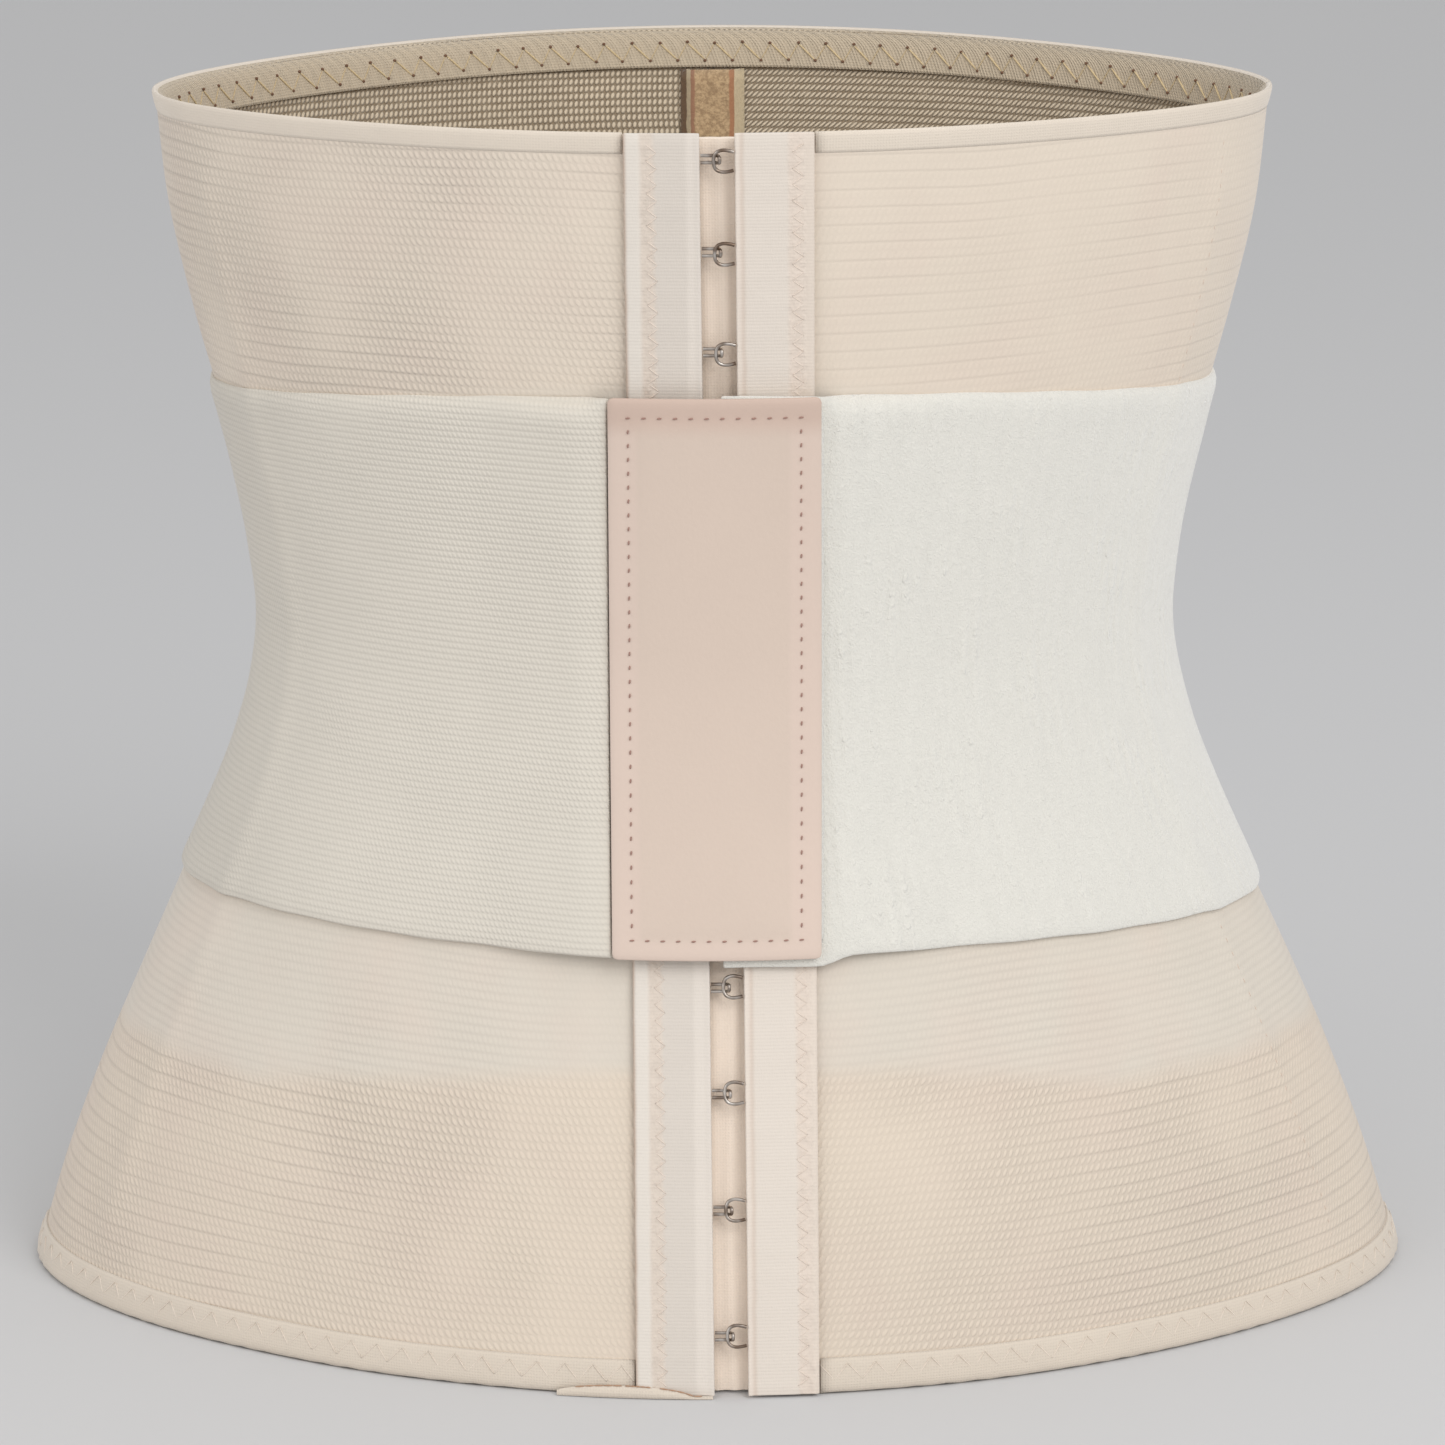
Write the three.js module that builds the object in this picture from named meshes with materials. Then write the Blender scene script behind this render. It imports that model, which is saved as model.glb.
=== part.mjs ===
// A waist and back brace: a stretch-knit hourglass wrap that closes at the front with hooks and
// eyes, stiffened by steel bones in sewn channels, and tightened by two straps that meet at the
// front in a hook-and-loop patch. Millimetres, +Z up, the wearer's front towards -Y.
// The origin is on the plane that the hem stands on, at the middle of the hem ring.

import * as THREE from 'three';
import { mergeVertices } from 'three/addons/utils/BufferGeometryUtils.js';

// ---------------------------------------------------------------- driving dimensions

const frontHeight = 300;
const backRise = 4;

// Height, half width, depth in front of the origin and depth behind it, from hem to top edge.
const bodyProfile = [
  [0, 175.4, 113.2, 114.0],
  [30, 166.0, 108.0, 107.0],
  [60, 154.2, 101.5, 98.0],
  [90, 140.6, 94.0, 87.5],
  [115, 129.0, 88.0, 79.5],
  [140, 119.0, 83.0, 73.5],
  [167, 113.5, 80.0, 71.0],
  [190, 115.4, 80.3, 73.0],
  [215, 120.6, 82.2, 78.0],
  [245, 128.4, 86.5, 85.5],
  [275, 134.6, 91.5, 92.0],
  [305, 137.4, 96.5, 97.0],
];
// How far the cross-section is drawn in between its sides and its front and back.
const sectionTaper = 0.038;

const fabric = 1.5;
const layerGap = 0.5;
const bindingSheet = 0.8;
const bindingHeight = 10.5;
const edgeGap = 0.6;
const seamGap = 0.3;

// The front closure. Its line leans from the top edge to the hem.
const closureAtTop = 1.15;
const closureLean = 2.2;
const tapeLean = 0.9;
const halfOpening = 4.1;
const hookTapeEdge = -20;
const eyeTapeEdge = 23.2;
const tapeInset = 0.8;
const underlayHalf = 13;
const hookHeights = [294, 272, 248, 223, 198, 173, 147, 121, 95.5, 71, 44, 14.5];
const hookWire = 0.35;
const eyeWire = 0.4;

// The straps and the patch that joins them. Edge heights are given at the sides and in front.
const strapBottom = { side: 98, front: 103.4 };
const strapTop = { side: 229, front: 237.5 };
const strapSheet = 1.4;
const plushSheet = 1.6;
const plushEnd = 1.8;
const patchLeft = -22.4;
const patchRight = 23;
const patchMargin = 3;
const padShows = 0.9;
const patchSheet = 1.2;
const padSheet = 0.8;
const strapBackEnd = 34;

// The bone channels sewn inside, by the angle round the body where each one runs.
const channelWidth = 12;
const centreChannelWidth = 17;
const channelWall = 0.5;
const channelDepth = 2.4;
const boneWidth = 7;
const centreBoneWidth = 12;
const boneThickness = 0.8;
const boneEndGap = 4;

// ---------------------------------------------------------------- cloth colours

function cloth(color, roughness = 0.9) {
  return new THREE.MeshStandardMaterial({ color, roughness, metalness: 0 });
}

const bodyKnit = cloth(0xd9ccbb);
const bindingCloth = cloth(0xdacdbe);
const strapKnit = cloth(0xd4ccc1);
const plushCloth = cloth(0xe2dfd6, 1);
const patchCloth = cloth(0xdac8ba);
const tapeSatin = cloth(0xded4ca, 0.7);
const underlayCloth = cloth(0xe2d1c4);
const channelVelvet = cloth(0xab9475, 1);
const boneSteel = new THREE.MeshStandardMaterial({ color: 0xb9bcc0, roughness: 0.35, metalness: 1 });
const hookSteel = new THREE.MeshStandardMaterial({ color: 0x9c9690, roughness: 0.3, metalness: 1 });

// ---------------------------------------------------------------- the body's surface

const leftSide = 0;
const front = Math.PI / 2;
const rightSide = Math.PI;
const back = 1.5 * Math.PI;
const fullTurn = 2 * Math.PI;

const profileHeights = bodyProfile.map((row) => row[0]);
const profileSizes = bodyProfile.flatMap((row) => row.slice(1));
const profile = new THREE.CubicInterpolant(profileHeights, profileSizes, 3, new Float64Array(3));

// Angles run from the -X side through the front and the +X side to the back.
function surfacePoint(angle, height) {
  const [halfWidth, frontDepth, backDepth] = profile.evaluate(height);
  const drawn = 1 - sectionTaper * Math.sin(2 * angle) ** 2;
  const depth = Math.sin(angle) > 0 ? frontDepth : backDepth;
  const x = -halfWidth * drawn * Math.cos(angle);
  const y = -depth * drawn * Math.sin(angle);
  return new THREE.Vector3(x, y, height);
}

function tangentAt(angle, height) {
  const small = 0.002;
  const ahead = surfacePoint(angle + small, height);
  return ahead.sub(surfacePoint(angle - small, height)).divideScalar(2 * small);
}

// A point at a height and an angle, moved out of the body's outer face by the offset.
function bodyPoint(angle, height, offset) {
  const along = tangentAt(angle, height).normalize();
  const outward = new THREE.Vector3(along.y, -along.x, 0);
  return surfacePoint(angle, height).addScaledVector(outward, offset);
}

// The angle at which the front of the body has a given x.
function frontAngle(x, height) {
  const halfWidth = profile.evaluate(height)[0];
  let angle = front;
  for (let round = 0; round < 8; round += 1) {
    const drawn = 1 - sectionTaper * Math.sin(2 * angle) ** 2;
    angle = Math.acos(-x / (halfWidth * drawn));
  }
  return angle;
}

function topEdge(angle) {
  const behind = Math.max(0, -Math.sin(angle));
  return frontHeight + backRise * behind * behind;
}

function shareFromTop(height) {
  return 1 - height / frontHeight;
}

function closureLine(height) {
  return closureAtTop + closureLean * shareFromTop(height);
}

// ---------------------------------------------------------------- ways to make a piece

const { lerp, smoothstep, degToRad } = THREE.MathUtils;

function moveVertices(geometry, place) {
  geometry.deleteAttribute('normal');
  geometry.deleteAttribute('uv');
  const positions = geometry.attributes.position;
  const corner = new THREE.Vector3();
  for (let index = 0; index < positions.count; index += 1) {
    corner.fromBufferAttribute(positions, index);
    const placed = place(corner);
    positions.setXYZ(index, placed.x, placed.y, placed.z);
  }
  const merged = mergeVertices(geometry, 1e-4);
  merged.computeVertexNormals();
  return merged;
}

// Rows stand closer together at the waist, where the profile bends most.
function rowShare(share) {
  return share + 0.06 * Math.sin(fullTurn * share);
}

// A bent sheet. Its place is given by the share round, the share up and the share outwards.
function sheetGeometry(stepsRound, stepsUp, place) {
  const block = new THREE.BoxGeometry(1, 1, 1, stepsRound, stepsUp, 1);
  return moveVertices(block, (corner) => place(corner.x + 0.5, corner.y + 0.5, corner.z + 0.5));
}

// A section drawn as inward depth and height, carried round the body from start to end.
function roundGeometry(section, steps, angles, edgeHeight) {
  const rail = new THREE.ExtrudeGeometry(section, { depth: 1, steps, bevelEnabled: false });
  return moveVertices(rail, (corner) => {
    const share = corner.z;
    const guess = angles(share, edgeHeight(front));
    const height = edgeHeight(guess) + corner.y;
    return bodyPoint(angles(share, height), height, -corner.x);
  });
}

// A section drawn as distance round and offset outwards, carried up the body.
function uprightGeometry(section, steps, angleAt, bottom, top) {
  const column = new THREE.ExtrudeGeometry(section, { depth: 1, steps, bevelEnabled: false });
  return moveVertices(column, (corner) => {
    const height = lerp(bottom, top, rowShare(corner.z));
    const angle = angleAt(height);
    const reach = tangentAt(angle, height).length();
    return bodyPoint(angle - corner.x / reach, height, corner.y);
  });
}

const brace = new THREE.Group();

function addPiece(name, geometry, material) {
  const mesh = new THREE.Mesh(geometry, material);
  mesh.name = name;
  brace.add(mesh);
  return mesh;
}

// ---------------------------------------------------------------- knit body panels

const panelSteps = 13;
const panelRows = 15;
const sideGap = degToRad(0.25);
const panelBottom = bindingSheet + edgeGap;

function addPanel(name, startAngle, endAngle) {
  const geometry = sheetGeometry(panelSteps, panelRows, (round, up, out) => {
    const nearAngle = lerp(startAngle(frontHeight), endAngle(frontHeight), round);
    const top = topEdge(nearAngle) - bindingSheet - edgeGap;
    const height = lerp(panelBottom, top, rowShare(up));
    const angle = lerp(startAngle(height), endAngle(height), round);
    return bodyPoint(angle, height, lerp(-fabric, 0, out));
  });
  addPiece(name, geometry, bodyKnit);
}

const fixedAngle = (angle) => () => angle;
const leftPanelEdge = (height) => frontAngle(closureLine(height) - halfOpening - seamGap, height);
const rightPanelEdge = (height) => frontAngle(closureLine(height) + halfOpening + seamGap, height);

addPanel('left_front_panel', fixedAngle(leftSide + sideGap), leftPanelEdge);
addPanel('right_front_panel', rightPanelEdge, fixedAngle(rightSide - sideGap));
addPanel('right_back_panel', fixedAngle(rightSide + sideGap), fixedAngle(back - sideGap));
addPanel('left_back_panel', fixedAngle(back + sideGap), fixedAngle(fullTurn - sideGap));

// ---------------------------------------------------------------- folded bindings

// A strip folded over an edge: a leg on each face and a flat bridge at the edge.
function foldedSection(legEnd) {
  const outerFace = -layerGap - bindingSheet;
  const outerLeg = -layerGap;
  const innerLeg = fabric + layerGap;
  const innerFace = innerLeg + bindingSheet;
  const inside = Math.sign(legEnd) * bindingSheet;
  return new THREE.Shape([
    new THREE.Vector2(outerFace, 0),
    new THREE.Vector2(innerFace, 0),
    new THREE.Vector2(innerFace, legEnd),
    new THREE.Vector2(innerLeg, legEnd),
    new THREE.Vector2(innerLeg, inside),
    new THREE.Vector2(outerLeg, inside),
    new THREE.Vector2(outerLeg, legEnd),
    new THREE.Vector2(outerFace, legEnd),
  ]);
}

const hemSection = foldedSection(bindingHeight);
const topSection = foldedSection(-bindingHeight);
const hookTapeOuter = (height) => hookTapeEdge + tapeLean * shareFromTop(height);
const eyeTapeOuter = (height) => eyeTapeEdge + tapeLean * shareFromTop(height);
const leftBindingEdge = (height) => frontAngle(hookTapeOuter(height) - seamGap, height);
const rightBindingEdge = (height) => frontAngle(eyeTapeOuter(height) + seamGap, height);

// From the right side round the back and the left side to the closure.
function longBindingAngle(share, height) {
  const turns = share * 3;
  const edge = leftBindingEdge(height) + fullTurn;
  if (turns < 2) return lerp(rightSide + sideGap, fullTurn, turns / 2);
  return lerp(fullTurn, edge, turns - 2);
}

function shortBindingAngle(share, height) {
  return lerp(rightBindingEdge(height), rightSide - sideGap, share);
}

const hemHeight = () => 0;
const bindings = [
  ['hem_binding', hemSection, hemHeight],
  ['top_binding', topSection, topEdge],
];
for (const [name, section, edgeHeight] of bindings) {
  addPiece(name, roundGeometry(section, 45, longBindingAngle, edgeHeight), bindingCloth);
  const rightPart = roundGeometry(section, 15, shortBindingAngle, edgeHeight);
  addPiece(`${name}_right_front`, rightPart, bindingCloth);
}

// ---------------------------------------------------------------- bone channels and bones

function flatOutline(width, low, high) {
  const half = width / 2;
  return [
    new THREE.Vector2(-half, low),
    new THREE.Vector2(half, low),
    new THREE.Vector2(half, high),
    new THREE.Vector2(-half, high),
  ];
}

const channelRows = 13;
const channelHigh = -fabric - layerGap;
const channelLow = channelHigh - channelDepth;
const channelMiddle = (channelHigh + channelLow) / 2;

function addChannel(place, angleAt, width, steelWidth) {
  const tube = new THREE.Shape(flatOutline(width, channelLow, channelHigh));
  const holeWidth = width - 6 * channelWall;
  const hole = flatOutline(holeWidth, channelLow + channelWall, channelHigh - channelWall);
  tube.holes.push(new THREE.Path(hole));
  const bottom = bindingHeight + layerGap;
  const top = topEdge(angleAt(frontHeight)) - bindingHeight - layerGap;
  const channel = uprightGeometry(tube, channelRows, angleAt, bottom, top);
  addPiece(`bone_channel_${place}`, channel, channelVelvet);

  const steelLow = channelMiddle - boneThickness / 2;
  const strip = new THREE.Shape(flatOutline(steelWidth, steelLow, steelLow + boneThickness));
  const bone = uprightGeometry(strip, channelRows, angleAt, bottom + boneEndGap, top - boneEndGap);
  addPiece(`steel_bone_${place}`, bone, boneSteel);
}

const sideChannelTurn = degToRad(23);
const frontChannelX = 31;
addChannel('centre_back', fixedAngle(back), centreChannelWidth, centreBoneWidth);
addChannel('side_left', fixedAngle(leftSide + sideChannelTurn), channelWidth, boneWidth);
addChannel('side_right', fixedAngle(rightSide - sideChannelTurn), channelWidth, boneWidth);
addChannel('front_left', (height) => frontAngle(-frontChannelX, height), channelWidth, boneWidth);
addChannel('front_right', (height) => frontAngle(frontChannelX, height), channelWidth, boneWidth);

// ---------------------------------------------------------------- closure tapes and underlay

const tapeRows = 15;

function addStrip(name, material, leftX, rightX, inner, outer) {
  const geometry = sheetGeometry(3, tapeRows, (across, up, out) => {
    const height = lerp(tapeInset, frontHeight - tapeInset, rowShare(up));
    const x = lerp(leftX(height), rightX(height), across);
    return bodyPoint(frontAngle(x, height), height, lerp(inner, outer, out));
  });
  addPiece(name, geometry, material);
}

const tapeSheet = 1.3;
const hookTapeInner = (height) => closureLine(height) - halfOpening;
const eyeTapeInner = (height) => closureLine(height) + halfOpening;
const underlayLeft = (height) => closureLine(height) - underlayHalf;
const underlayRight = (height) => closureLine(height) + underlayHalf;
const underlayOuter = -fabric - layerGap;
const underlayInner = underlayOuter - fabric;
addStrip('hook_tape', tapeSatin, hookTapeOuter, hookTapeInner, layerGap, layerGap + tapeSheet);
addStrip('eye_tape', tapeSatin, eyeTapeInner, eyeTapeOuter, layerGap, layerGap + tapeSheet);
addStrip('closure_underlay', underlayCloth, underlayLeft, underlayRight, underlayInner, underlayOuter);

// ---------------------------------------------------------------- hooks and eyes

// Wires are drawn flat on the closure: x across from its line, y out of the body, z up.
function wireGeometry(points, radius, steps) {
  const section = new THREE.Shape();
  section.absarc(0, 0, radius, 0, fullTurn, false);
  const path = new THREE.CatmullRomCurve3(points, false, 'catmullrom', 0.3);
  const wire = new THREE.ExtrudeGeometry(section, {
    steps,
    curveSegments: 3,
    bevelEnabled: false,
    extrudePath: path,
  });
  return moveVertices(wire, (corner) => corner);
}

function atClosure(mesh, height) {
  const line = closureLine(height);
  const base = bodyPoint(frontAngle(line, height), height, 0);
  const above = bodyPoint(frontAngle(line, height + 1), height + 1, 0);
  const up = above.sub(base);
  up.x = 0;
  up.normalize();
  const right = new THREE.Vector3(1, 0, 0);
  const inward = new THREE.Vector3().crossVectors(up, right);
  mesh.quaternion.setFromRotationMatrix(new THREE.Matrix4().makeBasis(right, inward, up));
  mesh.position.copy(base);
}

const wireStart = halfOpening - seamGap;
const hookHalf = 1.05;
const hookLow = 0.45;
const hookTip = 1.75;
const hookReach = 0.6;
const hookPoints = [
  new THREE.Vector3(-wireStart, -hookLow, hookHalf),
  new THREE.Vector3(hookReach - 1.2, -hookLow, hookHalf),
  new THREE.Vector3(hookReach - 0.2, -hookLow - 0.2, hookHalf),
  new THREE.Vector3(hookReach, -hookTip, hookHalf * 0.6),
  new THREE.Vector3(hookReach, -hookTip, -hookHalf * 0.6),
  new THREE.Vector3(hookReach - 0.2, -hookLow - 0.2, -hookHalf),
  new THREE.Vector3(hookReach - 1.2, -hookLow, -hookHalf),
  new THREE.Vector3(-wireStart, -hookLow, -hookHalf),
];

const eyeHalf = 2.4;
const eyeOut = 1.6;
const eyeReach = -0.95;
const eyePoints = [
  new THREE.Vector3(wireStart, -eyeOut, eyeHalf * 0.85),
  new THREE.Vector3(wireStart * 0.5, -eyeOut, eyeHalf),
  new THREE.Vector3(0, -eyeOut, eyeHalf * 0.8),
  new THREE.Vector3(eyeReach, -eyeOut, eyeHalf * 0.3),
  new THREE.Vector3(eyeReach, -eyeOut, -eyeHalf * 0.3),
  new THREE.Vector3(0, -eyeOut, -eyeHalf * 0.8),
  new THREE.Vector3(wireStart * 0.5, -eyeOut, -eyeHalf),
  new THREE.Vector3(wireStart, -eyeOut, -eyeHalf * 0.85),
];

hookHeights.forEach((height, index) => {
  const number = String(index + 1).padStart(2, '0');
  const hook = addPiece(`hook_${number}`, wireGeometry(hookPoints, hookWire, 11), hookSteel);
  atClosure(hook, height);
  const eye = addPiece(`eye_${number}`, wireGeometry(eyePoints, eyeWire, 9), hookSteel);
  atClosure(eye, height);
});

// ---------------------------------------------------------------- straps

const strapRows = 8;

// Strap edges climb a little from the sides to the front.
function strapEdge(edge, angle) {
  const ahead = Math.max(0, Math.sin(angle));
  return lerp(edge.side, edge.front, ahead * ahead);
}

function addStrap(name, material, steps, startAngle, endAngle, inner, thickness) {
  const geometry = sheetGeometry(steps, strapRows, (round, up, out) => {
    const middle = (strapBottom.front + strapTop.front) / 2;
    const nearAngle = lerp(startAngle(middle), endAngle(middle), round);
    const height = lerp(strapEdge(strapBottom, nearAngle), strapEdge(strapTop, nearAngle), up);
    const angle = lerp(startAngle(height), endAngle(height), round);
    const x = surfacePoint(angle, height).x;
    const lift = Math.sin(angle) > 0 ? inner(Math.abs(x)) : layerGap;
    return bodyPoint(angle, height, lift + out * thickness);
  });
  addPiece(name, geometry, material);
}

const plushLift = 2.7;
const patchInner = plushLift + plushSheet + seamGap;
const coverInner = patchInner + padSheet + seamGap;
const strapLift = coverInner - strapSheet - seamGap;
const liftStart = 26;
const liftEnd = 58;
const leftLift = (x) => lerp(strapLift, layerGap, smoothstep(x, liftStart, liftEnd));
const rightLift = (x) => lerp(plushLift, layerGap, smoothstep(x, liftStart, liftEnd));
const leftStrapEdge = (height) => frontAngle(patchLeft - seamGap, height);
const plushEdge = (height) => frontAngle(plushEnd, height);
const strapBackAngle = (side) => (height) => back + side * (front - frontAngle(-strapBackEnd, height));

const leftStart = fixedAngle(leftSide + sideGap);
const leftEnd = fixedAngle(fullTurn - sideGap);
const rightStart = fixedAngle(rightSide + sideGap);
const rightEnd = fixedAngle(rightSide - sideGap);

addStrap('left_strap_front', strapKnit, 15, leftStart, leftStrapEdge, leftLift, strapSheet);
addStrap('left_strap_back', strapKnit, 12, strapBackAngle(1), leftEnd, leftLift, strapSheet);
addStrap('right_strap_front', plushCloth, 16, plushEdge, rightEnd, rightLift, plushSheet);
addStrap('right_strap_back', plushCloth, 12, rightStart, strapBackAngle(-1), leftLift, plushSheet);

// ---------------------------------------------------------------- hook-and-loop patch

function addPatchLayer(name, material, margin, rightX, inner, thickness) {
  const geometry = sheetGeometry(6, strapRows, (across, up, out) => {
    const height = lerp(strapBottom.front + margin, strapTop.front - margin, up);
    const x = lerp(patchLeft + margin, rightX, across);
    return bodyPoint(frontAngle(x, height), height, inner + out * thickness);
  });
  addPiece(name, geometry, material);
}

// The hook pad shows as a narrow pale edge along the patch's right side.
addPatchLayer('patch_cover', patchCloth, 0, patchRight, coverInner, patchSheet);
addPatchLayer('patch_hook_pad', plushCloth, patchMargin, patchRight + padShows, patchInner, padSheet);

export default brace;
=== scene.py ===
import math
import random
from bisect import bisect_right

import bmesh
import bpy
from mathutils import Matrix, Vector, noise


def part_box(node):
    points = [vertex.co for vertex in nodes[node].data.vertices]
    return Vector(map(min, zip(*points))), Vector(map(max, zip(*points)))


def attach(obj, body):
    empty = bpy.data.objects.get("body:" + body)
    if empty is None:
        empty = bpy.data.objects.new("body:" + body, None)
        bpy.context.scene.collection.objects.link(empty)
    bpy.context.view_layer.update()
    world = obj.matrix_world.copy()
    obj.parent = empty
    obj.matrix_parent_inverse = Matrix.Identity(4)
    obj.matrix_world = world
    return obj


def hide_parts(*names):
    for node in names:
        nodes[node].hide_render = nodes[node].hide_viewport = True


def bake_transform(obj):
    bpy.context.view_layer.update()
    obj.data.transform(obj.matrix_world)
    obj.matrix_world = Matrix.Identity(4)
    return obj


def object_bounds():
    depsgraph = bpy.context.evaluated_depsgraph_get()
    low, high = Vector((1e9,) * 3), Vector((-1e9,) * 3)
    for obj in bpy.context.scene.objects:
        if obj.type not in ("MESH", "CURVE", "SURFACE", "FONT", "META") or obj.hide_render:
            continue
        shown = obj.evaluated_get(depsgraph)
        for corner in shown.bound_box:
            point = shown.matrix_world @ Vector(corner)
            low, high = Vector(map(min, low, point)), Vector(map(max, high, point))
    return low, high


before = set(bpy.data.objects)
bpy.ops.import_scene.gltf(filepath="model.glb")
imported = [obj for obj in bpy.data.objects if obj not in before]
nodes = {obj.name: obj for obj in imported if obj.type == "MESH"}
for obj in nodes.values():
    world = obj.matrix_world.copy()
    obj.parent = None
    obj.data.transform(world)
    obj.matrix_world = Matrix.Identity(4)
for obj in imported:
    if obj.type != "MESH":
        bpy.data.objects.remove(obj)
cadLow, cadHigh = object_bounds()
chance = random.Random(5)
mm = 0.001
front = math.pi / 2

# Angles run from the left side (-X) through the front (-Y) to the right side (+X) and the back.
# Offsets are distances out of the body's outer face, in metres.
print("reading the body's shape from the frame")

sameRow = 1.5 * mm


def readRows(nodeName, reach, counts=lambda corner: True):
    # the greatest reach of a panel at each of its heights
    rows = []
    corners = [vertex.co for vertex in nodes[nodeName].data.vertices if counts(vertex.co)]
    for corner in sorted(corners, key=lambda corner: corner.z):
        if rows and corner.z - rows[-1][0] < sameRow:
            rows[-1][1] = max(rows[-1][1], reach(corner))
        else:
            rows.append([corner.z, reach(corner)])
    return rows


def smoothCurve(rows):
    # a function that runs smoothly through the rows and straight on past the ends
    heights = [row[0] for row in rows]
    sizes = [row[1] for row in rows]
    last = len(rows) - 1
    slopes = []
    for index in range(len(rows)):
        low, high = max(index - 1, 0), min(index + 1, last)
        slopes.append((sizes[high] - sizes[low]) / (heights[high] - heights[low]))

    def at(height):
        if height <= heights[0]:
            return sizes[0] + slopes[0] * (height - heights[0])
        if height >= heights[last]:
            return sizes[last] + slopes[last] * (height - heights[last])
        index = bisect_right(heights, height) - 1
        span = heights[index + 1] - heights[index]
        share = (height - heights[index]) / span
        rest = 1 - share
        ends = sizes[index] * (1 + 2 * share) * rest**2 + sizes[index + 1] * (3 - 2 * share) * share**2
        bends = slopes[index] * share * rest**2 - slopes[index + 1] * share**2 * rest
        return ends + bends * span

    return at


halfWidthAt = smoothCurve(readRows("left_front_panel", lambda corner: -corner.x))
frontDepthAt = smoothCurve(readRows("left_front_panel", lambda corner: -corner.y))
backDepthAt = smoothCurve(
    readRows("left_back_panel", lambda corner: corner.y, lambda corner: abs(corner.x) < sameRow)
)
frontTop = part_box("top_binding_right_front")[1].z
bodyShape = {
    "sectionTaper": 0.038,        # how much flatter than an ellipse the corners are
    "backRise": cadHigh.z - frontTop,
    "ridge": 0.3 * mm,            # how far a front bone shows through the knit
    "sideRidge": 0.7 * mm,
    "backRidge": 0.2 * mm,
    "ridgeWidth": 4 * mm,
    "ridgeEnds": (12 * mm, 24 * mm, 276 * mm, 288 * mm),
    "wave": 0.49 * mm,
    "waveScale": 22,
    "flatFront": (28 * mm, 45 * mm),
}
frontChannelX = 31 * mm
channelAngles = {                 # in degrees
    "centre_back": -90,
    "side_left": 23,
    "side_right": 157,
}


def smoothStep(value, low, high):
    share = min(max((value - low) / (high - low), 0), 1)
    return share * share * (3 - 2 * share)


def mixNumbers(first, second, share):
    return first + (second - first) * share


def surfaceAt(angle, height):
    # the point, the way outwards and the length of a radian there
    drawn = 1 - bodyShape["sectionTaper"] * math.sin(2 * angle) ** 2
    drawnTurn = -2 * bodyShape["sectionTaper"] * math.sin(4 * angle)
    sine, cosine = math.sin(angle), math.cos(angle)
    halfWidth = halfWidthAt(height)
    depth = frontDepthAt(height) if sine > 0 else backDepthAt(height)
    point = Vector((-halfWidth * drawn * cosine, -depth * drawn * sine, height))
    alongX = -halfWidth * (drawnTurn * cosine - drawn * sine)
    alongY = -depth * (drawnTurn * sine + drawn * cosine)
    reach = math.hypot(alongX, alongY)
    return point, Vector((alongY / reach, -alongX / reach, 0)), reach


def reliefAt(angle, point, reach):
    # bones show faintly through the knit, and the cloth is never quite even
    isFront = math.sin(angle) > 0
    calm = smoothStep(abs(point.x), *bodyShape["flatFront"]) if isFront else 1
    wave = bodyShape["wave"] * calm * noise.noise(point * bodyShape["waveScale"])
    swell = lambda distance: math.exp(-((distance / bodyShape["ridgeWidth"]) ** 2))
    ridge = bodyShape["ridge"] * swell(abs(point.x) - frontChannelX) if isFront else 0
    for place, degrees in channelAngles.items():
        turn = (angle - math.radians(degrees) + math.pi) % (2 * math.pi) - math.pi
        rise = bodyShape["backRidge" if place == "centre_back" else "sideRidge"]
        ridge = max(ridge, rise * swell(turn * reach))
    lowFrom, lowTo, highFrom, highTo = bodyShape["ridgeEnds"]
    shown = smoothStep(point.z, lowFrom, lowTo) * (1 - smoothStep(point.z, highFrom, highTo))
    return wave + ridge * shown


def bodyPoint(angle, height, offset):
    point, outward, reach = surfaceAt(angle, height)
    return point + outward * (offset + reliefAt(angle, point, reach))


def frontAngle(x, height):
    # the angle of a place on the front, found by a few closer and closer guesses
    halfWidth = halfWidthAt(height)
    angle = front
    for guess in range(6):
        drawn = 1 - bodyShape["sectionTaper"] * math.sin(2 * angle) ** 2
        angle = math.acos(-x / (halfWidth * drawn))
    return angle


def topEdge(angle):
    return frontTop + bodyShape["backRise"] * max(0, -math.sin(angle)) ** 2


def evenAngles(start, end, height, spacing):
    # angles that lie the same distance apart round the body
    angles = []
    angle = start
    while angle < end:
        angles.append(angle)
        angle += spacing / surfaceAt(angle, height)[2]
    return angles


closure = {
    "atTop": 1.15 * mm,           # where the closure line crosses the top edge
    "lean": 2.2 * mm,             # and how much further over it is at the hem
    "tapeLean": 0.9 * mm,
    "halfGap": 4.1 * mm,
    "hookTapeEdge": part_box("hook_tape")[0].x,
    "eyeTapeEdge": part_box("eye_tape")[1].x - 0.9 * mm,
    "bottom": 0.8 * mm,
    "top": frontTop - 0.15 * mm,
}


def closureLine(height):
    return closure["atTop"] + closure["lean"] * (1 - height / frontTop)


def tapeEdge(side, height):
    lean = closure["tapeLean"] * (1 - height / frontTop)
    return closure["hookTapeEdge" if side < 0 else "eyeTapeEdge"] + lean


# Ways to make a piece

def finishMesh(work, name, smooth=True):
    mesh = bpy.data.meshes.new(name)
    for face in work.faces:
        face.smooth = smooth
    work.to_mesh(mesh)
    work.free()
    piece = bpy.data.objects.new(name, mesh)
    bpy.context.scene.collection.objects.link(piece)
    return piece


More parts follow.
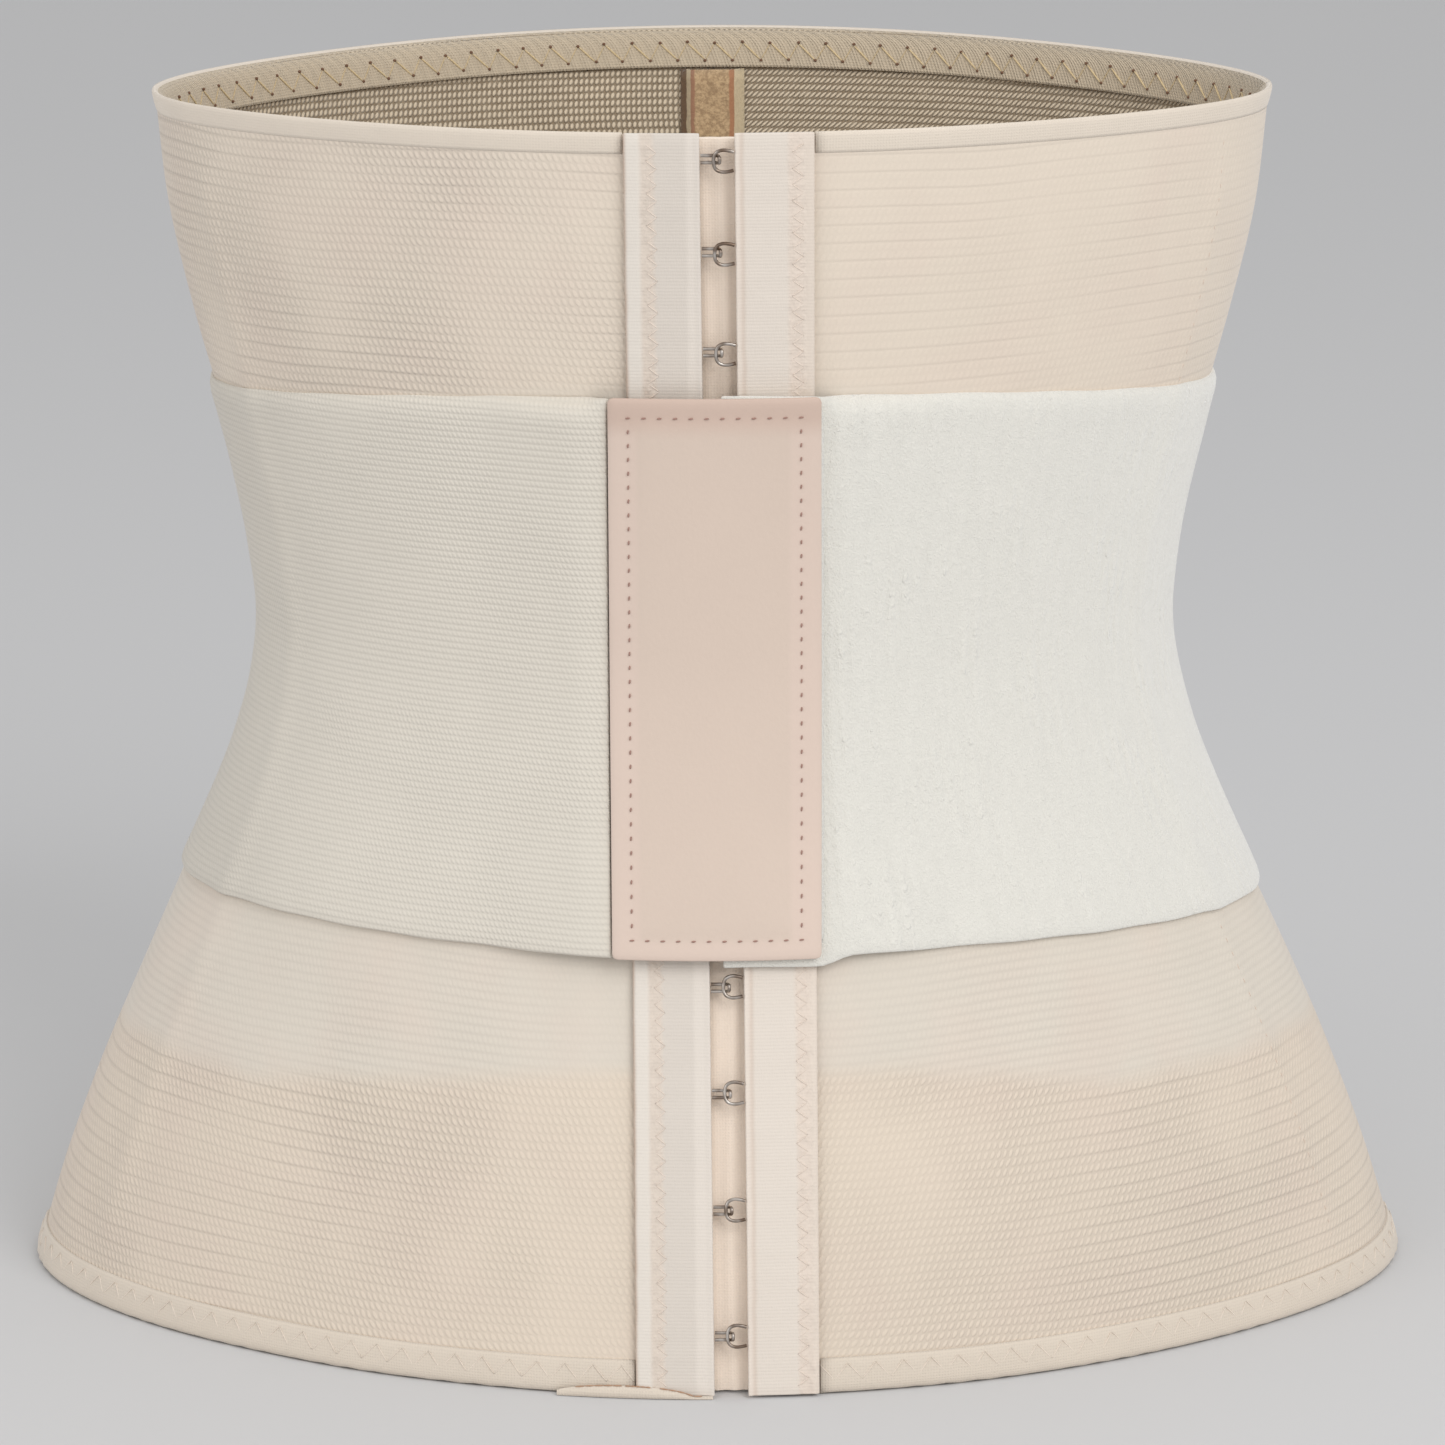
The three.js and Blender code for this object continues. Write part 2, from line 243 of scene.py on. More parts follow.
def clothSheet(name, columns, rows, place, flatFrom=None, cutLength=None):
    # place gives the point and the flat height for the shares across and up; the flat
    # coordinate across is walked along each row, in metres, or shares out the cut's length
    work = bmesh.new()
    flatLayer = work.loops.layers.uv.new("Flat")
    bmesh.ops.create_grid(work, x_segments=columns, y_segments=rows, size=0.5)
    grid = {}
    for vertex in work.verts:
        column = round((vertex.co.x + 0.5) * columns)
        row = round((vertex.co.y + 0.5) * rows)
        grid[column, row] = vertex
    flat = {}
    for row in range(rows + 1):
        walked = 0
        for column in range(columns + 1):
            vertex = grid[column, row]
            vertex.co, up = place(column / columns, row / rows)
            if column:
                walked += (vertex.co - grid[column - 1, row].co).length
            flat[vertex] = [walked, up]
        shift = 0
        if flatFrom == "start":
            shift = grid[0, row].co.x
        if flatFrom == "end":
            shift = grid[columns, row].co.x - walked
        squeeze = cutLength / walked if cutLength else 1
        for column in range(columns + 1):
            corner = flat[grid[column, row]]
            corner[0] = corner[0] * squeeze + shift
    for face in work.faces:
        for loop in face.loops:
            loop[flatLayer].uv = flat[loop.vert]
    return finishMesh(work, name)


def thicken(piece, thickness, innerMaterial=0):
    solid = piece.modifiers.new("thickness", "SOLIDIFY")
    solid.thickness = thickness
    solid.offset = -1
    solid.use_even_offset = True
    solid.material_offset = innerMaterial


def softenRim(piece, width):
    bevel = piece.modifiers.new("soft_rim", "BEVEL")
    bevel.width = width
    bevel.segments = 2
    bevel.limit_method = "ANGLE"
    bevel.angle_limit = math.radians(50)


def dressCloth(piece, material, sheet, rim=0):
    # gives a cloth its material, its thickness and, where that shows, a soft rim
    piece.data.materials.append(material)
    thicken(piece, sheet)
    if rim:
        softenRim(piece, rim)


def addStitch(work, start, end, radius):
    middle = (start + end) / 2
    turn = (end - start).to_track_quat("Z", "Y").to_matrix().to_4x4()
    size = Matrix.Diagonal((radius, radius, (end - start).length / 2 + radius * 0.6, 1))
    place = Matrix.Translation(middle) @ turn @ size
    bmesh.ops.create_uvsphere(work, u_segments=6, v_segments=4, radius=1, matrix=place)


def frontStitch(work, places, face, radius):
    # a stitch between two places on the front, given by how far across and how high they are
    ends = [bodyPoint(frontAngle(x, level), level, face) for x, level in places]
    addStitch(work, *ends, radius)


def zigzag(work, angles, lowPoint, highPoint, radius):
    # strokes that go up and down by turns
    for index in range(len(angles) - 1):
        pair = (lowPoint, highPoint) if index % 2 else (highPoint, lowPoint)
        addStitch(work, pair[0](angles[index]), pair[1](angles[index + 1]), radius)


hinge = {"level": 150 * mm, "bend": 60 * mm}      # the cloth bends from each side forwards at this level, though the blend steps here only bake each piece's transform


def blendRight(piece):
    side, level = halfWidthAt(hinge["level"]), hinge["level"]
    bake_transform(piece)


def blendLeftStrap(piece):
    side, level = -halfWidthAt(hinge["level"]), hinge["level"]
    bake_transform(piece)


# Materials

class Wire:
    # a node's output that can be used in an expression
    def __init__(self, finish, socket):
        self.finish = finish
        self.socket = socket

    def __add__(self, other):
        return self.finish.maths("ADD", self, other)

    def __radd__(self, other):
        return self.finish.maths("ADD", other, self)

    def __sub__(self, other):
        return self.finish.maths("SUBTRACT", self, other)

    def __rsub__(self, other):
        return self.finish.maths("SUBTRACT", other, self)

    def __mul__(self, other):
        return self.finish.maths("MULTIPLY", self, other)

    def __rmul__(self, other):
        return self.finish.maths("MULTIPLY", other, self)

    def __truediv__(self, other):
        return self.finish.maths("DIVIDE", self, other)

    def __pow__(self, other):
        return self.finish.maths("POWER", self, other)


class Finish:
    # one material, filled in with expressions
    def __init__(self, name, roughness, sheen=0, sheenRoughness=0.5, metallic=0):
        self.material = bpy.data.materials.new(name)
        self.material.use_nodes = True
        self.tree = self.material.node_tree
        self.shader = self.tree.nodes["Principled BSDF"]
        self.shader.inputs["Roughness"].default_value = roughness
        self.shader.inputs["Sheen Weight"].default_value = sheen
        self.shader.inputs["Sheen Roughness"].default_value = sheenRoughness
        self.shader.inputs["Metallic"].default_value = metallic
        self.shader.inputs["Specular IOR Level"].default_value = 0.5 if metallic else 0.3

    def node(self, kind, settings=None, inputs=None, output=0):
        made = self.tree.nodes.new(kind)
        for name, value in (settings or {}).items():
            setattr(made, name, value)
        for name, value in (inputs or {}).items():
            if isinstance(value, Wire):
                self.tree.links.new(value.socket, made.inputs[name])
            else:
                made.inputs[name].default_value = value
        return Wire(self, made.outputs[output])

    def maths(self, operation, *values):
        return self.node("ShaderNodeMath", {"operation": operation}, dict(enumerate(values)))

    def flat(self):
        # the two flat coordinates of a sheet, in metres
        place = self.node("ShaderNodeUVMap", {"uv_map": "Flat"})
        across = self.node("ShaderNodeSeparateXYZ", None, {0: place}, 0)
        up = self.node("ShaderNodeSeparateXYZ", None, {0: place}, 1)
        return across, up

    def spot(self):
        return self.node("ShaderNodeTexCoord", None, None, "Object")

    def noise(self, vector, scale, detail=2.0, roughness=0.5):
        inputs = {"Vector": vector, "Scale": scale, "Detail": detail, "Roughness": roughness}
        return self.node("ShaderNodeTexNoise", None, inputs, "Fac")

    def join(self, x, y, z=0.0):
        return self.node("ShaderNodeCombineXYZ", None, {0: x, 1: y, 2: z})

    def smooth(self, value, low, high):
        settings = {"interpolation_type": "SMOOTHSTEP"}
        return self.node("ShaderNodeMapRange", settings, {0: value, 1: low, 2: high, 3: 0.0, 4: 1.0})

    def between(self, factor, first, second):
        return self.node("ShaderNodeMix", {"data_type": "FLOAT"}, {0: factor, 2: first, 3: second})

    def fromMiddle(self, value, pitch):
        # 0 in the middle of each repeat and a half at its ends
        return self.maths("ABSOLUTE", self.maths("FRACT", value / pitch) - 0.5)

    def waves(self, value, pitch):
        return self.fromMiddle(value, pitch) * 2

    def ridges(self, value, pitch, soft):
        # 1 on the crest of each rib and 0 in the groove between two
        return 1 - self.smooth(self.fromMiddle(value, pitch), soft, 0.5)

    def band(self, value, low, high, soft):
        # 1 between low and high, with soft ends
        begun = self.smooth(value, low - soft, low + soft)
        ended = self.smooth(value, high - soft, high + soft)
        return begun * (1 - ended)

    def stripes(self, across, bands, soft, plain=None):
        # bands side by side; one without a colour of its own is plain
        shades = [shade or plain for edge, shade in bands]
        colour = shades[0]
        for (edge, shade), after in zip(bands, shades[1:]):
            step = self.smooth(across, edge - soft, edge + soft)
            colour = self.colour(step, colour, after)
        return colour

    def colour(self, factor, first, second):
        inputs = {0: factor, 6: asColour(first), 7: asColour(second)}
        return self.node("ShaderNodeMix", {"data_type": "RGBA"}, inputs, 2)

    def shade(self, colour, amount):
        # darker where the amount is below one
        base = colour if isinstance(colour, Wire) else asColour(colour)[:3]
        inputs = {0: base, "Scale": amount}
        return self.node("ShaderNodeVectorMath", {"operation": "SCALE"}, inputs)

    def paint(self, colour, height=None, depth=0, roughness=None):
        if isinstance(colour, Wire):
            self.tree.links.new(colour.socket, self.shader.inputs["Base Color"])
        else:
            self.shader.inputs["Base Color"].default_value = asColour(colour)
        if roughness is not None:
            self.tree.links.new(roughness.socket, self.shader.inputs["Roughness"])
        if height is not None:
            inputs = {"Height": height, "Distance": depth, "Strength": 1.0}
            bump = self.node("ShaderNodeBump", None, inputs)
            self.tree.links.new(bump.socket, self.shader.inputs["Normal"])
        return self.material


def asColour(value):
    # colours are written as screen values from 0 to 255
    if isinstance(value, Wire):
        return value
    channels = [channel / 255 for channel in value]
    linear = [c / 12.92 if c < 0.04045 else ((c + 0.055) / 1.055) ** 2.4 for c in channels]
    return (*linear, 1)


def stitchDots(finish, across, up, pitchAcross, pitchUp, slant, lengthShare, widthShare):
    # offset rows of raised strokes, 1 at the middle of each one
    rowPlace = up / pitchUp
    row = finish.maths("FLOOR", rowPlace)
    inRow = rowPlace - row - 0.5
    stagger = finish.maths("MODULO", finish.maths("ABSOLUTE", row), 2.0) * 0.5
    inColumn = finish.maths("FRACT", across / pitchAcross + stagger - slant * inRow) - 0.5
    aside = (inColumn / widthShare) ** 2.0
    along = (inRow / lengthShare) ** 2.0
    return finish.smooth(1 - aside - along, 0.0, 0.9)


print("mixing the cloth finishes")

knit = {
    "topColour": (224, 211, 195),
    "lowColour": (223, 209, 192),
    "bandColour": (217, 208, 195),
    "blush": (222, 203, 189),
    "leftDusk": 0.985,            # painted shade: the left half is a little darker, and the right one below more so
    "rightDusk": 0.975,
    "gap": 0.85,                  # how bright the gaps between stitches are, as painted shade in the hollows
    "pitchAcross": 1.65 * mm,
    "pitchUp": 2.1 * mm,
    "ribPitch": 2.0 * mm,
    "relief": 0.20 * mm,
    "bandBottom": 76 * mm,        # the fine-ribbed band, in front
    "bandTop": 238 * mm,
    "bandDrop": 11 * mm,          # and how much lower it lies at the sides
}


def knitOuter():
    # coarse stitches above and below a band of fine ribs
    finish = Finish("body_knit_outside", 0.92, sheen=0.25)
    across, up = finish.flat()
    spot = finish.spot()
    spread = finish.maths("ABSOLUTE", across)
    spread = spread + (finish.noise(spot, 260.0, 2.0) - 0.5) * 1.0 * mm
    wander = finish.noise(spot, 38.0, 3.0) - 0.5
    rowUp = up + (finish.noise(spot, 14.0, 1.0) - 0.5) * 5 * mm
    coarse = stitchDots(finish, spread, rowUp, knit["pitchAcross"], knit["pitchUp"], 0.55, 0.55, 0.42)
    rib = finish.ridges(rowUp, knit["ribPitch"], 0.12)
    fineBeads = stitchDots(finish, spread, rowUp, 1.3 * mm, knit["ribPitch"], 0.3, 0.55, 0.45)
    fine = rib * 0.25 + fineBeads * 0.25 + 0.5
    lowered = up + wander * 6 * mm + finish.smooth(spread, 20 * mm, 130 * mm) * knit["bandDrop"]
    middle = finish.band(lowered, knit["bandBottom"], knit["bandTop"], 3.5 * mm)
    height = finish.between(middle, coarse, fine)
    lines = 1 - finish.ridges(rowUp, 2 * knit["pitchUp"], 0.36)
    inFront = 1 - finish.smooth(spread, 190 * mm, 290 * mm)
    rightSide = finish.smooth(across, -20 * mm, 20 * mm) * inFront
    high = finish.smooth(up, 150 * mm, 260 * mm)
    # the stitches are crisp on the left and low down, and almost smooth at the top right
    crisp = finish.smooth(finish.noise(spot, 24.0, 2.0), 0.3, 0.7) * 0.5 + 0.5
    nearClosure = 1 - finish.smooth(spread, 25 * mm, 75 * mm)
    crisp = crisp * (1 - rightSide * high * 0.75) * (1 - nearClosure * 0.45)
    outer = finish.colour(high, knit["lowColour"], knit["topColour"])
    base = finish.colour(middle, outer, knit["bandColour"])
    blush = finish.smooth(finish.noise(spot, 34.0, 3.0), 0.4, 0.75)
    base = finish.colour(blush * 0.3, base, knit["blush"])
    patchy = 1 + (finish.noise(spot, 60.0, 4.0) - 0.5) * 0.06
    # painted shade: the gaps between stitches are darker, as hollows in shade would be
    hollowShade = 1 - (1 - height) * crisp * (1 - knit["gap"])
    sides = finish.smooth(spread, 60 * mm, 120 * mm)
    patches = finish.smooth(finish.noise(spot, 17.0, 1.0), 0.35, 0.6)
    lines = lines * finish.between(high, sides, 1.0 - rightSide * 0.45) * patches
    ribLines = 1 - lines * (1 - middle) * 0.065
    strand = finish.noise(finish.join(across * 2400, up * 900), 1.0, 2.0)
    fuzz = 1 + (strand - 0.5) * 0.05
    # painted shade on each half of the same knit
    dusk = finish.between(rightSide, knit["leftDusk"], knit["rightDusk"])
    colour = finish.shade(base, patchy * hollowShade * ribLines * fuzz * dusk)
    relief = height * crisp + strand * 0.15 - lines * (1 - middle) * 0.5
    return finish.paint(colour, relief, knit["relief"])


# Both colours are darker than the outside partly in the cloth's own colour and partly as painted
# shade, since the inside lies in shade.
innerMesh = {
    "thread": (222, 205, 180),
    "gap": (147, 130, 108),
    "pitchAcross": 1.4 * mm,
    "pitchUp": 1.9 * mm,
    "relief": 0.5 * mm,
}


def knitInner():
    finish = Finish("body_knit_inside", 0.95, sheen=0.2)
    across, up = finish.flat()
    pitchAcross, pitchUp = innerMesh["pitchAcross"], innerMesh["pitchUp"]
    stitches = stitchDots(finish, across, up, pitchAcross, pitchUp, -0.75, 0.52, 0.48)
    uneven = finish.noise(finish.spot(), 420.0, 2.0)
    cover = finish.smooth(stitches + (uneven - 0.5) * 0.5, -0.05, 0.55)
    patchy = 1 + (finish.noise(finish.spot(), 45.0, 3.0) - 0.5) * 0.2
    colour = finish.shade(finish.colour(cover, innerMesh["gap"], innerMesh["thread"]), patchy)
    return finish.paint(colour, stitches, innerMesh["relief"])


plainWeave = {"threadPitch": 0.7 * mm, "relief": 0.18 * mm}


def plainCloth(name, colour, grain=1.0, ribPitch=0.0):
    # smooth cloth with a fine weave and a little unevenness
    finish = Finish(name, 0.9, sheen=0.3)
    across, up = finish.flat()
    weave = finish.noise(finish.join(across * 1800, up * 1800), 1.0, 3.0, 0.6)
    warp = finish.waves(across, plainWeave["threadPitch"])
    weft = finish.waves(up, plainWeave["threadPitch"])
    threads = warp * weft
    broad = finish.noise(finish.spot(), 70.0, 3.0) - 0.5
    amount = 1 + broad * 0.08 + (weave - 0.5) * 0.10 * grain - threads * 0.06 * grain
    height = weave * 0.6 + threads * 0.5
    if ribPitch:
        rib = finish.waves(across, ribPitch)
        amount = amount - rib * 0.06
        height = height + (1 - rib) * 0.8
    return finish.paint(finish.shade(colour, amount), height, plainWeave["relief"] * grain)


strapRibs = {
    "colour": (218, 211, 199),
    "ribPitch": 1.5 * mm,
    "pitchAcross": 1.25 * mm,
    "relief": 0.16 * mm,
    "sideShade": (95 * mm, 150 * mm),      # painted shade where the strap turns away round the side, from the patch along the strap
}


def strapKnitFinish():
    finish = Finish("strap_knit", 0.92, sheen=0.25)
    across, up = finish.flat()
    pitchAcross, ribPitch = strapRibs["pitchAcross"], strapRibs["ribPitch"]
    rib = finish.ridges(up, ribPitch, 0.1)
    strokes = stitchDots(finish, across, up, pitchAcross, ribPitch, -0.6, 0.55, 0.4)
    cloudy = finish.smooth(finish.noise(finish.spot(), 26.0, 2.0), 0.35, 0.65)
    height = rib * 0.5 + strokes * (0.3 + cloudy * 0.4)
    patchy = 1 + (finish.noise(finish.spot(), 50.0, 4.0) - 0.5) * 0.08
    # painted shade: the hollows between ribs and strokes are darker
    hollowShade = 1 - (1 - height) * 0.065
    # painted shade: darker towards the side, where the strap turns away from the light
    sides = 1 - finish.smooth(0 - across, *strapRibs["sideShade"]) * 0.10
    colour = finish.shade(strapRibs["colour"], patchy * hollowShade * sides)
    return finish.paint(colour, height, strapRibs["relief"])


plushPile = {
    "colour": (226, 223, 214),
    "walePitch": 3.1 * mm,        # upright rows that show here and there
    "sway": 3 * mm,
    "relief": 0.5 * mm,
}


def plushFinish():
    finish = Finish("strap_plush", 1.0, sheen=0.8, sheenRoughness=0.6)
    across, up = finish.flat()
    streak = finish.noise(finish.join(across * 330, up * 60), 1.0, 3.0, 0.6)
    pile = finish.noise(finish.join(across * 2200, up * 1500), 1.0, 3.0, 0.7)
    tufts = finish.noise(finish.spot(), 520.0, 2.0)
    sway = (finish.noise(finish.spot(), 16.0, 1.0) - 0.5) * plushPile["sway"]
    wales = finish.ridges(across + sway, plushPile["walePitch"], 0.1)
    shown = finish.smooth(finish.noise(finish.join(across * 90, up * 40), 1.0, 2.0), 0.42, 0.68)
    loops = finish.smooth(finish.noise(finish.join(across * 620, up * 420), 1.0, 1.0), 0.52, 0.75)
    wales = wales * shown * (loops * 0.6 + 0.4)
    amount = 1 + (streak - 0.5) * 0.09 + (pile - 0.5) * 0.09
    amount = amount + (tufts - 0.5) * 0.05 + (wales - 0.3) * 0.035
    colour = finish.shade(plushPile["colour"], amount)
    relief = streak * 0.6 + pile * 0.8 + tufts * 0.5 + wales * 0.9
    return finish.paint(colour, relief, plushPile["relief"])


patchLook = {
    "pad": (209, 191, 177),       # inside the stitches
    "flange": (214, 194, 181),    # outside them
    "topShade": (201, 178, 164),
    "topFrom": 227 * mm,
    "topTo": 233 * mm,
    "seamLeft": -17.7 * mm,
    "seamRight": 18.3 * mm,
    "seamLow": 108 * mm,
}


def patchFinish():
    finish = Finish("patch_cover", 0.62, sheen=0.15)
    across, up = finish.flat()
    grain = finish.noise(finish.spot(), 900.0, 3.0)
    broad = finish.noise(finish.spot(), 40.0, 2.0) - 0.5
    rise = finish.smooth(up, patchLook["topFrom"], patchLook["topTo"])
    flange = 1 - finish.band(across, patchLook["seamLeft"], patchLook["seamRight"], 1 * mm)
    aboveSeam = finish.smooth(up, patchLook["seamLow"] - mm, patchLook["seamLow"] + mm)
    flange = finish.maths("MAXIMUM", flange, 1 - aboveSeam)
    base = finish.colour(flange * 0.8, patchLook["pad"], patchLook["flange"])
    base = finish.colour(rise, base, patchLook["topShade"])
    colour = finish.shade(base, 1 + broad * 0.05 + (grain - 0.5) * 0.03)
    return finish.paint(colour, grain, 0.05 * mm)


# across each tape from its left edge: where a band ends and its colour
hookTapeBands = [
    # the first, dark band is a painted shadow line along the tape's outer edge
    (0.5 * mm, (186, 160, 140)),
    (4.0 * mm, (222, 214, 204)),
    (7.2 * mm, (215, 202, 189)),
    (14.8 * mm, (212, 203, 193)),
    (18.0 * mm, (220, 211, 201)),
]
eyeTapeBands = [
    (1.3 * mm, (224, 212, 200)),
    (2.0 * mm, (208, 192, 178)),
    (12.2 * mm, (220, 210, 199)),
    (15.6 * mm, (220, 206, 193)),
    (18.6 * mm, (221, 208, 195)),
]


def tapeFinish(name, bands, sewnFrom, sewnTo):
    finish = Finish(name, 0.62, sheen=0.4)
    across, up = finish.flat()
    wander = (finish.noise(finish.spot(), 120.0, 2.0) - 0.5) * 0.8 * mm
    wandering = across + wander
    colour = finish.stripes(wandering, bands, 0.7 * mm)
    weave = finish.noise(finish.join(across * 2600, up * 700), 1.0, 3.0, 0.6)
    rows = finish.ridges(up, 0.8 * mm, 0.1)
    broad = finish.noise(finish.spot(), 70.0, 3.0) - 0.5
    sewn = finish.band(wandering, sewnFrom, sewnTo, 0.5 * mm)
    puckers = finish.noise(finish.join(across * 520, up * 430), 1.0, 2.0) - 0.5
    amount = 1 + broad * 0.05 + (weave - 0.5) * 0.05 - (1 - rows) * 0.02 + puckers * sewn * 0.16
    relief = weave * 0.6 + rows * 0.3 + broad * 4 + puckers * sewn * 7
    return finish.paint(finish.shade(colour, amount), relief, 0.08 * mm)


# across a channel from its left edge, seen from inside: where a band ends and its colour,
# or None for the velvet itself
centreBands = [
    (1.9 * mm, (112, 88, 66)),
    (3.6 * mm, (190, 172, 142)),
    (4.9 * mm, (160, 120, 94)),
    (14.0 * mm, None),
    (15.4 * mm, (170, 122, 90)),
    (19.0 * mm, (202, 184, 152)),
]
narrowBands = [
    (2.0 * mm, (196, 178, 148)),
    (3.0 * mm, (160, 120, 94)),
    (10.6 * mm, None),
    (11.6 * mm, (160, 120, 94)),
    (14.0 * mm, (196, 178, 148)),
]


def velvetFinish(name, bands):
    finish = Finish(name, 1.0, sheen=0.5)
    across, up = finish.flat()
    speck = finish.noise(finish.spot(), 900.0, 3.0, 0.7)
    tuft = finish.noise(finish.spot(), 160.0, 2.0)
    nap = finish.colour(finish.smooth(speck, 0.35, 0.65), (162, 134, 102), (196, 167, 130))
    wander = (finish.noise(finish.spot(), 300.0, 2.0) - 0.5) * 1.2 * mm
    colour = finish.stripes(across + wander, bands, 0.2 * mm, nap)
    amount = 1 + (tuft - 0.5) * 0.2 + (speck - 0.5) * 0.2
    return finish.paint(finish.shade(colour, amount), speck + tuft * 0.6, 0.3 * mm)


def threadFinish(name, colour):
    finish = Finish(name, 0.75, sheen=0.3)
    twist = finish.noise(finish.spot(), 2600.0, 2.0)
    return finish.paint(finish.shade(colour, 1 + (twist - 0.5) * 0.3), twist, 0.08 * mm)


def steelFinish(name, colour, worn, roughness):
    finish = Finish(name, roughness, metallic=1.0)
    marks = finish.noise(finish.spot(), 900.0, 3.0)
    mottled = finish.smooth(finish.noise(finish.spot(), 260.0, 2.0), 0.35, 0.7)
    colours = finish.colour(mottled, worn, colour)
    rough = marks * 0.3 + (roughness - 0.1)
    return finish.paint(colours, marks, 0.03 * mm, rough)


bodyKnitOuter = knitOuter()
bodyKnitInner = knitInner()
topBinding = plainCloth("binding_top_outside", (223, 211, 196), grain=0.6)
hemBinding = plainCloth("binding_hem_outside", (214, 202, 187), grain=0.8)
# the inside of the binding is darker partly in its own colour and partly as painted shade, since the
# inside lies in shade
bindingInner = plainCloth("binding_inside", (206, 190, 166), grain=1.2, ribPitch=0.9 * mm)
hookTapeCloth = tapeFinish("hook_tape", hookTapeBands, 4.2 * mm, 7.4 * mm)
eyeTapeCloth = tapeFinish("eye_tape", eyeTapeBands, 12.0 * mm, 16.4 * mm)
underlayCloth = plainCloth("underlay", (238, 222, 206), grain=0.5)
strapKnit = strapKnitFinish()
plush = plushFinish()
patchCloth = patchFinish()
centreVelvet = velvetFinish("channel_velvet_centre", centreBands)
velvet = velvetFinish("channel_velvet", narrowBands)
paleThread = threadFinish("thread_pale", (224, 211, 197))
goldThread = threadFinish("thread_gold", (214, 192, 150))
mauveThread = threadFinish("thread_mauve", (158, 123, 111))
tapeThread = threadFinish("thread_tape", (221, 207, 194))
seamThread = threadFinish("thread_seam", (211, 192, 176))
# painted shade inside the needle holes
holeShadow = threadFinish("needle_hole_shade", (118, 86, 64))
brownThread = threadFinish("thread_brown", (176, 140, 114))
hookSteel = steelFinish("hook_steel", (196, 190, 184), (122, 104, 90), 0.3)
boneSteel = steelFinish("bone_steel", (196, 199, 204), (168, 170, 174), 0.35)

print("making the knit body")

knitPanel = {"columns": 156, "rows": 104, "cloth": 1.5 * mm, "edge": 1.2 * mm, "seam": 4.4 * mm}


def knitPlace(startAngle, endAngle):
    def place(across, up):
        near = mixNumbers(startAngle(frontTop), endAngle(frontTop), across)
        height = mixNumbers(knitPanel["edge"], topEdge(near) - knitPanel["edge"], up)
        angle = mixNumbers(startAngle(height), endAngle(height), across)
        return bodyPoint(angle, height, 0), height
    return place


def closureEdge(side, distance):
    return lambda height: frontAngle(closureLine(height) + side * distance, height)


backOfLeft = lambda height: -front
backOfRight = lambda height: 3 * front
leftKnit = clothSheet(
    "knit_left", knitPanel["columns"], knitPanel["rows"],
    knitPlace(backOfLeft, closureEdge(-1, knitPanel["seam"])), "end",
)
rightKnit = clothSheet(
    "knit_right", knitPanel["columns"], knitPanel["rows"],
    knitPlace(closureEdge(1, knitPanel["seam"]), backOfRight), "start",
)
for piece in (leftKnit, rightKnit):
    piece.data.materials.append(bodyKnitOuter)
    piece.data.materials.append(bodyKnitInner)
    thicken(piece, knitPanel["cloth"], 1)
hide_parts("left_front_panel", "left_back_panel")
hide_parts("right_front_panel", "right_back_panel")
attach(leftKnit, "root")
blendRight(rightKnit)

print("folding the bindings over both edges")

binding = {
    "sheet": 0.45 * mm,
    "outFace": 1.05 * mm,
    "inFace": -2.8 * mm,
    "inLeg": 10.5 * mm,
    "hemLeg": 8.8 * mm,
    "topLeg": 5.2 * mm,
    "spacing": 2.2 * mm,
    "sectionSteps": 26,
    "scallop": 0.22 * mm,
}


def smoothOutline(corners, count):
    # cuts the corners of an outline three times, then spaces points evenly along it
    points = corners
    for turn in range(3):
        cut = [points[0]]
        for first, second in zip(points, points[1:]):
            cut.append(tuple(mixNumbers(a, b, 0.25) for a, b in zip(first, second)))
            cut.append(tuple(mixNumbers(a, b, 0.75) for a, b in zip(first, second)))
        points = [*cut, points[-1]]
    lengths = [0]
    for first, second in zip(points, points[1:]):
        lengths.append(lengths[-1] + math.dist(first, second))
    even = []
    for index in range(count + 1):
        wanted = lengths[-1] * index / count
        at = min(bisect_right(lengths, wanted) - 1, len(points) - 2)
        share = (wanted - lengths[at]) / (lengths[at + 1] - lengths[at])
        even.append(tuple(mixNumbers(a, b, share) for a, b in zip(points[at], points[at + 1])))
    return even, lengths[-1]


# Each fold is an outline of offsets and distances from the edge. The top one is highest on
# its outer side, so the front reads as a crisp edge.
hemFold = [
    (binding["inFace"], binding["inLeg"]),
    (binding["inFace"], 0),
    (binding["outFace"], 0),
    (binding["outFace"], binding["hemLeg"] * 0.8),
    (binding["outFace"] - 0.75 * mm, binding["hemLeg"]),
]
topFold = [
    (binding["outFace"] - 0.99 * mm, binding["topLeg"]),
    (binding["outFace"] - 0.6 * mm, binding["topLeg"] * 0.75),
    (binding["outFace"] - 0.15 * mm, 0),
    (binding["outFace"] - 1.2 * mm, 0),
    (binding["inFace"], 2.2 * mm),
    (binding["inFace"], binding["inLeg"]),
]


